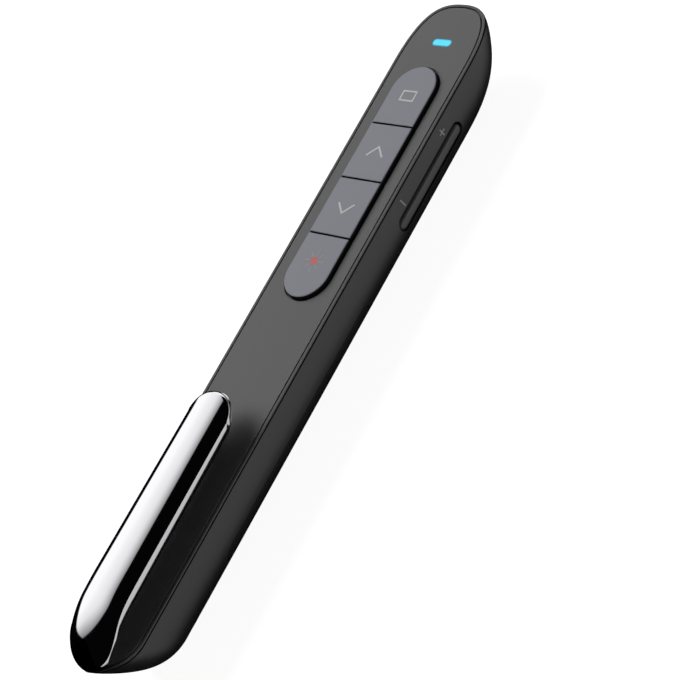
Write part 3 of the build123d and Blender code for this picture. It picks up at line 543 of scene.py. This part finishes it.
@dataclass
class KeyPad:
    """The four keys with their printed icons. Lengths in millimetres.

    Attributes:
        names: the keys, from the nose to the clip.
        ink: heights of the print's underside and top above a key's top.
        stop: place, half length, half width and line of the rectangle.
        arrows: places of the upper and the lower chevron.
        chevron_size: half length, half width and line of a chevron.
        sun_x: middle of the light's sign.
        sun_dot: radius of its dot.
        rays: how many rays it has.
        ray: radius where they begin, two radii where they end in turn, and their line.
    """

    names: tuple[str, ...] = ("stop", "up", "down", "laser")
    ink: Pair = (-0.01, 0.015)
    stop: Quad = (51.75, 1.1, 1.7, 0.36)
    arrows: Pair = (38.36, 25.0)
    chevron_size: Triple = (1.1, 2.08, 0.42)
    sun_x: float = 12.85
    sun_dot: float = 0.78
    rays: int = 8
    ray: Quad = (1.15, 2.5, 2.2, 0.3)

    def flat(self, path: list[Pair], width: float, closed: bool = False) -> Array:
        """A printed line on top of a key."""
        low, high = (KEY_TOP_Z + height for height in self.ink)
        return stroke(np.array(path, dtype=float), width, low, high, closed)

    def chevron(self, middle: float, sense: int) -> Array:
        """A two-armed arrow that points to the nose, or to the tail with a sense of -1."""
        length, half, line = self.chevron_size
        rear, front = middle - sense * length, middle + sense * length
        return self.flat([(rear, half), (front, 0.0), (rear, -half)], line)

    def sun(self) -> list[Array]:
        """Short bars round a circle, turned by equal steps, as the loops of each bar."""
        start, *ends, line = self.ray
        bars = []
        for number in range(self.rays):
            angle = number * 2 * math.pi / self.rays
            path = [(self.sun_x + far * math.cos(angle), far * math.sin(angle))
                    for far in (start, ends[number % 2])]
            bars.append(self.flat(path, line))
        return bars

    def build(self, wardrobe: Wardrobe) -> None:
        """Dresses the keys and their stems and prints the icons."""
        wardrobe.dress_nodes({"key_" + name: KEY_ABS for name in self.names})
        wardrobe.dress_nodes({"plunger_" + name: NYLON_BLACK for name in self.names})
        x, half, wide, line = self.stop
        box = [(x - half, -wide), (x + half, -wide), (x + half, wide), (x - half, wide)]
        icons = {
            "stop": [self.flat(box, line, closed=True)],
            "up": [self.chevron(self.arrows[0], 1)],
            "down": [self.chevron(self.arrows[1], -1)],
            "laser": self.sun(),
        }
        for name, strips in icons.items():
            ink = PRINT_GREY if name == "laser" else PRINT_WHITE
            icon = loft_mesh("icon_" + name, strips, closed=name == "stop")
            wardrobe.add(icon, ink, name + "_key", "key_plastic")
        low, high = (KEY_TOP_Z + height for height in self.ink)
        dot = prism(circle((self.sun_x, 0.0), self.sun_dot), low, high)
        wardrobe.add(loft_mesh("icon_laser_dot", [dot]), PRINT_RED, "laser_key", "key_plastic")


@dataclass
class SpringClip:
    """The glossy clip as one shell with a collar and a lip round its free end.

    Lengths are in millimetres, and heights are above the panel.

    Attributes:
        centre_x: middle of the free end's round plan.
        radius: radius of that plan.
        rim: size of the rounded edge round the free end, its least size along the blade, and the
            cosine of the angle at which it begins to fade.
        crease: slope with which that edge begins, in radians.
        taper: growth of the half width per millimetre towards the tail.
        flare: start, length and size of its further growth.
        ending: start and two powers of the plan's round end at the tail.
        slope: start, end and two powers of the crown's fall to the tail.
        top: height of the crown.
        shoulder: height where the upright wall meets the crown.
        rounding: start, length and share of the section's change to round at the tail.
        handles: Bezier handle across the crown, ahead and at the tail.
        underside: height of the lower edge.
        heel: start, length and two powers of the lower edge's fall to the panel.
        lift: start, length and size of its rise towards the free end.
        groove: depth, rear end, front end and run-out of the groove below.
        groove_section: shares of half width and depth, from side to middle.
        stations: sections at the free end, along the blade and at the tail.
        gaps: angle left before the blade, in radians, and length left at the tail.
        points: points up a wall and over half a crown.
        collar_plan: angle to each side, in degrees, and reach into the shell, inwards and down.
        collar_steps: its sections, and points of its arc.
        lip_plan: angle to each side, angle where it would be gone, radius and reach of its edge.
        lip_height: its middle and half thickness, from the shell's lower edge.
        lip_steps: sections round it, and points of its edge.
        nub_size: place, height, radius and height of the flattened upper half.
        nub_ends: distance from its middle and share of its size, at a rounded end.
        foot: rear, front, half width and height of the foot on the frame.
    """

    centre_x: float = -24.45
    radius: float = 5.35
    rim: Triple = (0.6, 0.01, 0.25)
    crease: float = 0.42
    taper: float = 0.0091
    flare: Triple = (-60.0, 12.0, 0.47)
    ending: Triple = (-61.4, 5.3, 1.72)
    slope: Quad = (-56.14, -74.45, 2.8, 1.15)
    top: float = 6.0
    shoulder: float = 4.4
    rounding: Triple = (-62.43, 12.47, 0.61)
    handles: Pair = (0.688, 0.656)
    underside: float = 3.15
    heel: Quad = (-62.0, 10.1, 2.4, 0.6)
    lift: Triple = (-25.6, 4.6, 1.8)
    groove: Quad = (1.2, -67.0, -22.5, 3.0)
    groove_section: tuple[Pair, ...] = (
        (0.86, 0.0), (0.84, 0.8), (0.8, 1.0), (0.4, 1.0), (0.0, 1.0))
    stations: tuple[int, int, int] = (36, 50, 90)
    gaps: Pair = (0.02, 0.03)
    points: tuple[int, int] = (3, 33)
    collar_plan: Triple = (88.0, 0.3, 0.5)
    collar_steps: tuple[int, int] = (89, 9)
    lip_plan: Quad = (82.0, 84.0, 5.17, 0.42)
    lip_height: Pair = (-0.15, 0.2)
    lip_steps: tuple[int, int] = (83, 13)
    nub_size: Quad = (-27.5, 3.9, 2.6, 1.2)
    nub_ends: tuple[Pair, ...] = ((2.5, 0.86), (2.42, 0.95), (2.2, 1.0))
    foot: Quad = (-72.4, -70.0, 3.6, 1.6)

    def rounded(self, turn: Array) -> Array:
        """Size of the rounded edge at an angle round the free end: full in front, then fading."""
        size, least, fade = self.rim
        return size * eased(np.cos(turn) / fade) + least

    def half(self, x: Array) -> Array:
        """Half width of the shell in plan.

        Along the blade it is straight, with a taper and a flare; at the tail it closes as one less
        the share of the way to the end, raised to a power, all raised to another; at the free end
        it follows the round plan less the rounded edge.

        Args:
            x: places along the clip.

        Returns:
            The half width at each place.
        """
        turn = np.linspace(np.pi / 2, 0, 400)
        plan = self.radius - self.rounded(turn)
        start, length, size = self.flare
        tapered = self.radius + self.taper * np.maximum(0, self.centre_x - x)
        straight = tapered + size * eased((start - x) / length)
        first, inner, outer = self.ending
        share = np.clip((first - x) / (first - self.slope[1]), 0, 1)
        closed = straight * (1 - share ** inner) ** (1 / outer)
        ahead = np.interp(x, self.centre_x + plan * np.cos(turn), plan * np.sin(turn))
        return np.where(x > self.centre_x, ahead, closed)

    def lower(self, x: Array) -> Array:
        """Height of the lower edge, which falls along a rounded heel and rises to the free end.

        The fall is one less the share of the way, raised to a power, all raised to another.

        Args:
            x: places along the clip.

        Returns:
            The height at each place.
        """
        start, length, size = self.lift
        first, fall, inner, outer = self.heel
        share = np.clip((first - x) / fall, 0, 1)
        return self.underside * (1 - share ** inner) ** outer + size * eased((x - start) / length)

    @staticmethod
    def arc(t: Array, handle: Array) -> tuple[Array, Array]:
        """Half a crown of unit size: a cubic Bezier from upright at its side to level on top."""
        side = (1 - t) ** 3 + 3 * (1 - t) ** 2 * t + 3 * (1 - t) * t * t * handle
        rise = 3 * (1 - t) ** 2 * t * handle + 3 * (1 - t) * t * t + t ** 3
        return side, rise

    def reached(self, rise: Array, handle: Array) -> Array:
        """Finds where the crown's curve reaches a height, by Newton's steps on the Bezier's rise.

        Args:
            rise: heights, as shares of the crown's height.
            handle: the Bezier handle of each section.

        Returns:
            The curve's parameter at each height.
        """
        least_slope, last = 0.02, 0.98    # hold the steps back where the curve is nearly level
        t = rise / 2
        for _ in range(12):
            slope = 3 * handle * (1 - t) * (1 - 3 * t) + 6 * t * (1 - t)
            miss = self.arc(t, handle)[1] - rise
            t = np.clip(t - miss / np.maximum(slope, least_slope), 0, last)
        return t

    def full_rise(self, y: Array) -> Array:
        """Height of the blade's crown at a distance from its axis, as a share of the crown's."""
        side, rise = self.arc(np.linspace(1, 0, 300), np.array(self.handles[0]))
        return np.interp(y / self.radius, side, rise)

    def places(self) -> Array:
        """Places of the shell's sections along the clip, as a column.

        At both ends they follow the sine of even steps of an angle; along the blade they are even.
        """
        tip_count, blade_count, tail_count = self.stations
        bend, end = self.slope[0], self.slope[1] + self.gaps[1]
        front = self.radius - float(self.rounded(np.array(0.0)))
        tip = self.centre_x + front * np.sin(np.linspace(np.pi / 2, self.gaps[0], tip_count))
        blade = np.linspace(self.centre_x, bend, blade_count + 1)[1:]
        tail = bend + (end - bend) * np.sin(np.linspace(0, np.pi / 2, tail_count + 1)[1:])
        return np.concatenate([tip, blade, tail])[:, None]

    def shell(self) -> Array:
        """Sections of the shell, from the free end to the tail.

        Each half of the crown is a cubic Bezier from the shoulder, where it is upright, to the
        middle, where it is level; the walls stand below it down to the lower edge, and a groove
        with a flat roof hollows the underside. Towards the free end the crown runs on at full
        width and is cut by the round plan.

        Returns:
            Loops for loft_mesh.
        """
        x = self.places()
        wall_count, crown_count = self.points
        fall = np.clip((self.slope[0] - x) / (self.slope[0] - self.slope[1]), 0, 1)
        settled = eased((self.rounding[0] - x) / self.rounding[1])
        top = self.top * (1 - fall ** self.slope[2]) ** (1 / self.slope[3])
        base = top * self.shoulder / self.top * (1 - self.rounding[2] * settled)
        crown = top - base
        half, lower = self.half(x), self.lower(x)
        handle = self.handles[0] + (self.handles[1] - self.handles[0]) * settled
        need = np.clip((lower - base) / np.maximum(crown, 1e-6), 0, 0.999)
        trimmed = self.reached(need, handle)
        even = 0.5 - 0.5 * np.cos(np.linspace(0, np.pi, crown_count))
        side, rise = self.arc(trimmed + (1 - trimmed) * even, handle)
        rise = np.where(x > self.centre_x, self.full_rise(half * side), rise)
        over = base + crown * rise
        wall = np.linspace(0, 1, wall_count + 1)[:-1]
        wall_z = lower + (np.maximum(over[:, :1], lower) - lower) * wall
        foot = side[:, :1]
        right_y = half * np.concatenate([np.repeat(foot, wall_count, axis=1), side], axis=1)
        right_z = np.concatenate([wall_z, over], axis=1)
        deepest, rear, front, run_out = self.groove
        depth = deepest * eased((x - rear) / run_out) * eased((front - x) / run_out)
        across, deep = np.array(self.groove_section).T
        under_y = half * foot * np.concatenate([across, -across[-2::-1]])
        under_z = lower + depth * np.concatenate([deep, deep[-2::-1]])
        y = np.concatenate([-right_y, right_y[:, -2::-1], under_y], axis=1)
        z = np.concatenate([right_z, right_z[:, -2::-1], under_z], axis=1)
        return np.stack([np.broadcast_to(x, y.shape), y, PANEL_Z + z], axis=-1)

    def collar(self) -> Array:
        """The rounded rim round the free end.

        Its section is carried round the plan's arc: from inside the shell over the crown's edge,
        down an arc that starts with a crease, and down the wall to the lower edge.

        Returns:
            Loops for loft_mesh.
        """
        count, arc_count = self.collar_steps
        widest, inwards, down_in = self.collar_plan
        turn = np.radians(np.linspace(-widest, widest, count))[:, None]
        size = self.rounded(turn)
        inner = self.radius - size
        low = self.lower(self.centre_x + self.radius * np.cos(turn))
        share = self.full_rise(inner * np.abs(np.sin(turn)))
        edge = self.shoulder + (self.top - self.shoulder) * share
        lean = np.linspace(self.crease, np.pi / 2, arc_count)[None, :]
        across = (np.sin(lean) - math.sin(self.crease)) / (1 - math.sin(self.crease))
        down = 1 - np.cos(lean) / math.cos(self.crease)
        root = inner - inwards
        reach = np.hstack([root, inner + size * across, inner + size, root])
        height = np.hstack([edge - down_in, edge - size * down, low, low])
        x, y = self.centre_x + reach * np.cos(turn), reach * np.sin(turn)
        return np.stack([x, y, PANEL_Z + height], axis=-1)

    def lip(self) -> Array:
        """A plate under the free end with a rounded edge, which stands out as a crescent.

        The edge is a half circle carried round the tip's arc; its reach fades with the root of the
        cosine of the angle round the arc, and its height follows the shell's lower edge.

        Returns:
            Loops for loft_mesh.
        """
        count, edge_count = self.lip_steps
        widest, gone, centre, reach = self.lip_plan
        middle, half = self.lip_height
        turn = np.radians(np.linspace(-widest, widest, count))[None, :]
        level = np.radians(np.linspace(-90, 90, edge_count))[:, None]
        radius = centre + reach * np.cos(turn * 90 / gone) ** 0.5 * np.cos(level)
        low = self.lower(self.centre_x + self.radius * np.cos(turn))
        height = low + middle + half * np.sin(level)
        x, y = self.centre_x + radius * np.cos(turn), radius * np.sin(turn)
        return np.stack([x, y, PANEL_Z + height], axis=-1)

    def nub(self) -> Array:
        """The grip under the free end: a cylinder across the clip, flat on top, with round ends.

        Returns:
            Loops for loft_mesh.
        """
        away, share = np.array(self.nub_ends).T
        y = np.concatenate([-away, away[::-1]])[:, None]
        scale = np.concatenate([share, share[::-1]])[:, None]
        angle = np.linspace(0, 2 * np.pi, 48, endpoint=False)[None, :]
        place, level, radius, upper = self.nub_size
        rise = np.where(np.sin(angle) > 0, upper, radius)
        x = place + radius * scale * np.cos(angle)
        z = PANEL_Z + level + rise * scale * np.sin(angle)
        return np.stack([x, np.broadcast_to(y, x.shape), z], axis=-1)

    def build(self, wardrobe: Wardrobe) -> None:
        """Makes the clip, which stands for both CAD solids."""
        rear, front, half, height = self.foot
        outline = np.array([[rear, -half], [front, -half], [front, half], [rear, half]])
        foot = prism(outline, PANEL_Z, PANEL_Z + height)
        strips = [self.shell(), self.collar(), self.lip(), self.nub(), foot]
        clip = loft_mesh("clip_shell", strips, smooth_angle=40.0)
        wardrobe.dress(clip, DARK_CHROME)
        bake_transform(clip)
        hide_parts("clip_root", "clip_blade")
        LOG.info("piece clip_shell from casing to clip, %d faces", len(clip.data.polygons))


@dataclass
class SideControls:
    """The volume rocker and the power slider, whose shapes are complete in CAD."""

    def build(self, wardrobe: Wardrobe) -> None:
        """Dresses the side controls."""
        wardrobe.dress_nodes({
            "volume_rocker": ROCKER_PC, "side_plungers": NYLON_BLACK, "power_knob": SLIDER_ABS,
            "power_lever": NYLON_BLACK,
        })


@dataclass
class Electronics:
    """The board, its parts and the laser, whose shapes are complete in CAD."""

    def build(self, wardrobe: Wardrobe) -> None:
        """Dresses what sits inside the casing."""
        wardrobe.dress_nodes({
            "main_board": SOLDER_MASK, "key_switches": NICKEL, "side_switches": NICKEL,
            "power_switch": NICKEL, "controller_chip": CHIP_EPOXY, "radio_chip": CHIP_EPOXY,
            "crystal_can": NICKEL, "board_capacitors": CERAMIC, "board_screws": ZINC,
            "led_chip": PACKAGE_WHITE, "laser_barrel": BRASS, "laser_diode": NICKEL,
            "laser_lens": GLASS, "laser_window": GLASS,
        })


@dataclass
class PowerAndStorage:
    """The battery bay with its door, and the stowed receiver, whose shapes are complete in CAD."""

    def build(self, wardrobe: Wardrobe) -> None:
        """Dresses the door, the cell, its contacts and the receiver."""
        wardrobe.dress_nodes({
            "battery_door": HOUSING_ABS, "battery_cell": CELL_WRAP, "battery_spring": NICKEL,
            "negative_contact": NICKEL, "positive_contact": NICKEL, "receiver_magnet": NICKEL,
            "receiver_cap": HOUSING_ABS, "receiver_shell": NICKEL, "receiver_tongue": NYLON_BLACK,
        })


# ---- the studio ----
@dataclass(frozen=True)
class Lamp:
    """A soft rectangular lamp that faces the object and that shiny surfaces don't show.

    Attributes:
        name: the lamp's name.
        place: where it hangs, in metres.
        size: its width and height.
        power: its power in watts.
    """

    name: str
    place: Triple
    size: Pair
    power: float

    def hang(self) -> None:
        """Hangs the lamp at its place."""
        data = bpy.data.lights.new(self.name, "AREA")
        data.shape = "RECTANGLE"
        data.size, data.size_y = self.size
        data.energy = self.power
        lamp = new_object(self.name, data)
        lamp.location = self.place
        lamp.rotation_euler = (-Vector(self.place)).to_track_quat("-Z", "Y").to_euler()
        lamp.visible_glossy = False


@dataclass
class Studio:
    """Camera, floor, lamps and surroundings. Lengths are in metres here.

    Attributes:
        camera_place: where the camera stands.
        camera_right: the picture's rightward direction.
        camera_up: the picture's upward direction.
        lens: focal length and width of the sensor, in millimetres.
        shift: shift of the picture, right and up, as shares of its width.
        floor_half: half the floor's width.
        floor_heights: heights of its underside and top, in millimetres.
        floor_colour: its colour.
        floor_glow: brightness that the camera sees beside it.
        flag: right edge of the black flag, along Y, and the width of its soft edge; to its left
            glossy surfaces see the floor black, which under the object is painted shade.
        tent_span: angles of the tent's edges above the left horizon, in degrees.
        tent_reach: how far it reaches towards the tail, as the sine of the direction.
        tent_fade: its levels, from its lower front to its edge.
        tent_edge: softness of its lower edge, below and above it, in radians.
        tent_rise: start of that edge's rise, as a share of the reach, its degrees and its power.
        tent_strength: brightness of the tent in reflections.
        ambient: even light on matt surfaces.
        lamps: the lamps, which light matt surfaces.
    """

    camera_place: Triple = (-0.09175, -0.24524, 0.24363)
    camera_right: Triple = (0.4691, -0.7107, -0.5243)
    camera_up: Triple = (0.8415, 0.1794, 0.5096)
    lens: Pair = (97.8, 36.0)
    shift: Pair = (-0.0007, 0.0007)
    floor_half: float = 3.0
    floor_heights: Pair = (-20.0, -0.01)
    floor_colour: str = "bcbcbc"
    floor_glow: float = 0.93
    flag: Pair = (-0.012, 0.008)
    tent_span: Pair = (19.0, 57.0)
    tent_reach: float = 0.517
    tent_fade: tuple[Pair, ...] = (
        (0.45, 1.0), (0.7, 0.8), (0.89, 0.41), (0.975, 0.25), (1.0, 0.0012))
    tent_edge: Pair = (0.028, 0.014)
    tent_rise: Triple = (0.557, 13.2, 2.0)
    tent_strength: float = 2.1
    ambient: float = 0.03
    lamps: tuple[Lamp, ...] = (
        Lamp("key_lamp", (0.1, 0.8, 0.7), (0.9, 0.7), 8.0),
        Lamp("fill_lamp", (0.0, -1.0, 0.12), (1.2, 0.4), 2.8),
    )

    def camera(self) -> None:
        """Stands the camera at its place, turned by its right and up directions."""
        data = bpy.data.cameras.new("camera")
        data.lens, data.sensor_width = self.lens
        data.clip_start, data.clip_end = 0.01, 20.0
        data.shift_x, data.shift_y = self.shift
        camera = new_object("camera", data)
        right = Vector(self.camera_right).normalized()
        back = right.cross(Vector(self.camera_up)).normalized()
        turned = Matrix((right, back.cross(right), back)).transposed().to_4x4()
        camera.matrix_world = Matrix.Translation(self.camera_place) @ turned
        bpy.context.scene.camera = camera

    def floor(self) -> None:
        """Lays a pale floor, which glows white to the camera and through glass.

        Glossy surfaces see it white on the right alone. Under the object and on its left they see
        it
        black: on the left a black flag, which draws the dark outline along their edges, and under
        the object painted shade in place of the object's own shadow.
        """
        half = self.floor_half / MM
        corners = np.array([[-half, -half], [half, -half], [half, half], [-half, half]])
        plate = loft_mesh("floor", [prism(corners, *self.floor_heights)])
        made, tree, shader = new_material("floor_matt_white")
        edge, soft = self.flag
        ray = add_node(tree, "LightPath").outputs
        spot = add_node(tree, "TexCoord").outputs["Object"]
        place = add_node(tree, "SeparateXYZ", links={0: spot}).outputs
        right = add_node(tree, "MapRange", {"From Min": edge, "From Max": edge - soft},
                         {"Value": place["Y"]})
        mirrored = add_node(tree, "Math", {"operation": "MULTIPLY"},
                            {0: ray["Is Glossy Ray"], 1: right})
        # Painted shade: glossy rays see the floor black left of the flag's edge, under the object
        # standing in for its shadow and on its left as a black flag.
        flag_and_painted_shade = add_node(tree, "Math", {"operation": "SUBTRACT"},
                           {0: ray["Is Glossy Ray"], 1: mirrored})
        colours = {COLOUR_A: linear(self.floor_colour), COLOUR_B: linear("000000")}
        colour = add_node(tree, "Mix", {"data_type": "RGBA", **colours}, {FACTOR: flag_and_painted_shade})
        straight = add_node(tree, "Math", {"operation": "MAXIMUM"},
                            {0: ray["Is Camera Ray"], 1: ray["Is Transmission Ray"]})
        shown = add_node(tree, "Math", {"operation": "MAXIMUM"}, {0: straight, 1: mirrored})
        seen = add_node(tree, "Math", {"operation": "MULTIPLY", 1: self.floor_glow}, {0: shown})
        fit_node(tree, shader, {"Roughness": 0.9, "Specular IOR Level": 0.0,
                                "Emission Color": linear("ffffff")},
                 {"Base Color": colour.outputs[MIXED_COLOUR], "Emission Strength": seen})
        plate.data.materials.append(made)

    def tent(self, tree: Tree) -> Socket:
        """Adds the bright tent on the left that glossy surfaces reflect.

        It is a quarter of an ellipse in two measures: the angle above the left horizon, which is
        the arc tangent of Z over Y, and the reach towards the tail. Its level falls with the
        distance from its lower front, and its lower edge rises towards the tail with a power of
        the reach.

        Args:
            tree: the world's node tree.

        Returns:
            The socket of the tent's brightness.
        """
        low, high = (math.radians(edge) for edge in self.tent_span)
        under, over = self.tent_edge
        turn, rise, bend = self.tent_rise
        first, *between, last = self.tent_fade
        spot = add_node(tree, "TexCoord").outputs["Generated"]
        place = add_node(tree, "SeparateXYZ", links={0: spot}).outputs
        angle = add_node(tree, "Math", {"operation": "ARCTAN2"}, {0: place["Z"], 1: place["Y"]})
        share = add_node(tree, "MapRange", {"From Min": low, "From Max": high}, {"Value": angle})
        behind = add_node(tree, "Math", {"operation": "MULTIPLY", 1: -1 / self.tent_reach},
                          {0: place["X"]})
        past = add_node(tree, "Math", {"operation": "MAXIMUM", 1: 0.0}, {0: behind})
        flat = add_node(tree, "CombineXYZ", links={"X": share, "Y": past})
        far = add_node(tree, "VectorMath", {"operation": "LENGTH"}, {0: flat})
        fade = add_node(tree, "ValToRGB", links={0: far.outputs["Value"]})
        stops = fade.color_ramp.elements
        for number, (position, level) in enumerate((first, last)):
            stops[number].position = position
            stops[number].color = (level, level, level, 1.0)
        for position, level in between:
            stops.new(position).color = (level, level, level, 1.0)
        late = add_node(tree, "MapRange", {"From Min": turn, "From Max": 1.0}, {"Value": past})
        bent = add_node(tree, "Math", {"operation": "POWER", 1: bend}, {0: late})
        lift = add_node(tree, "Math", {"operation": "MULTIPLY", 1: math.radians(rise)}, {0: bent})
        above = add_node(tree, "Math", {"operation": "SUBTRACT"}, {0: angle, 1: lift})
        upper = add_node(tree, "MapRange", {"From Min": low - under, "From Max": low + over,
                                            "To Min": last[1]}, {"Value": above})
        lit = add_node(tree, "Math", {"operation": "MULTIPLY"}, {0: fade, 1: upper})
        strong = add_node(tree, "Math", {"operation": "MULTIPLY", 1: self.tent_strength}, {0: lit})
        return strong.outputs[0]

    def surroundings(self) -> None:
        """Surrounds the object with light that depends on what sees it.

        The camera and glass see white, glossy surfaces see the tent, and matt surfaces get a dim
        even light.
        """
        world = bpy.data.worlds.new("studio")
        bpy.context.scene.world = world
        world.use_nodes = True
        tree = world.node_tree
        ray = add_node(tree, "LightPath").outputs
        seen = add_node(tree, "Math", {"operation": "MAXIMUM"},
                        {0: ray["Is Camera Ray"], 1: ray["Is Transmission Ray"]})
        matt = add_node(tree, "Mix", {FLOAT_A: self.ambient},
                        {FACTOR: ray["Is Glossy Ray"], FLOAT_B: self.tent(tree)})
        total = add_node(tree, "Mix", {FLOAT_B: 1.0}, {FACTOR: seen, FLOAT_A: matt})
        fit_node(tree, tree.nodes["Background"], {"Color": linear("ffffff")}, {"Strength": total})

    def build(self) -> None:
        """Sets up the whole studio and reports it."""
        self.camera()
        self.floor()
        self.surroundings()
        for lamp in self.lamps:
            lamp.hang()
        bpy.context.scene.view_settings.view_transform = "Standard"
        LOG.info("studio ready, with %d lamps", len(self.lamps))


def main() -> None:
    """Builds and dresses every assembly."""
    logging.basicConfig(level=logging.INFO, format="%(message)s")
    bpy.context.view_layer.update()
    Studio().build()
    wardrobe = Wardrobe()
    for assembly in (Casing(), KeyPad(), SpringClip(), SideControls(), Electronics(),
                     PowerAndStorage()):
        assembly.build(wardrobe)


if __name__ == "__main__":
    main()
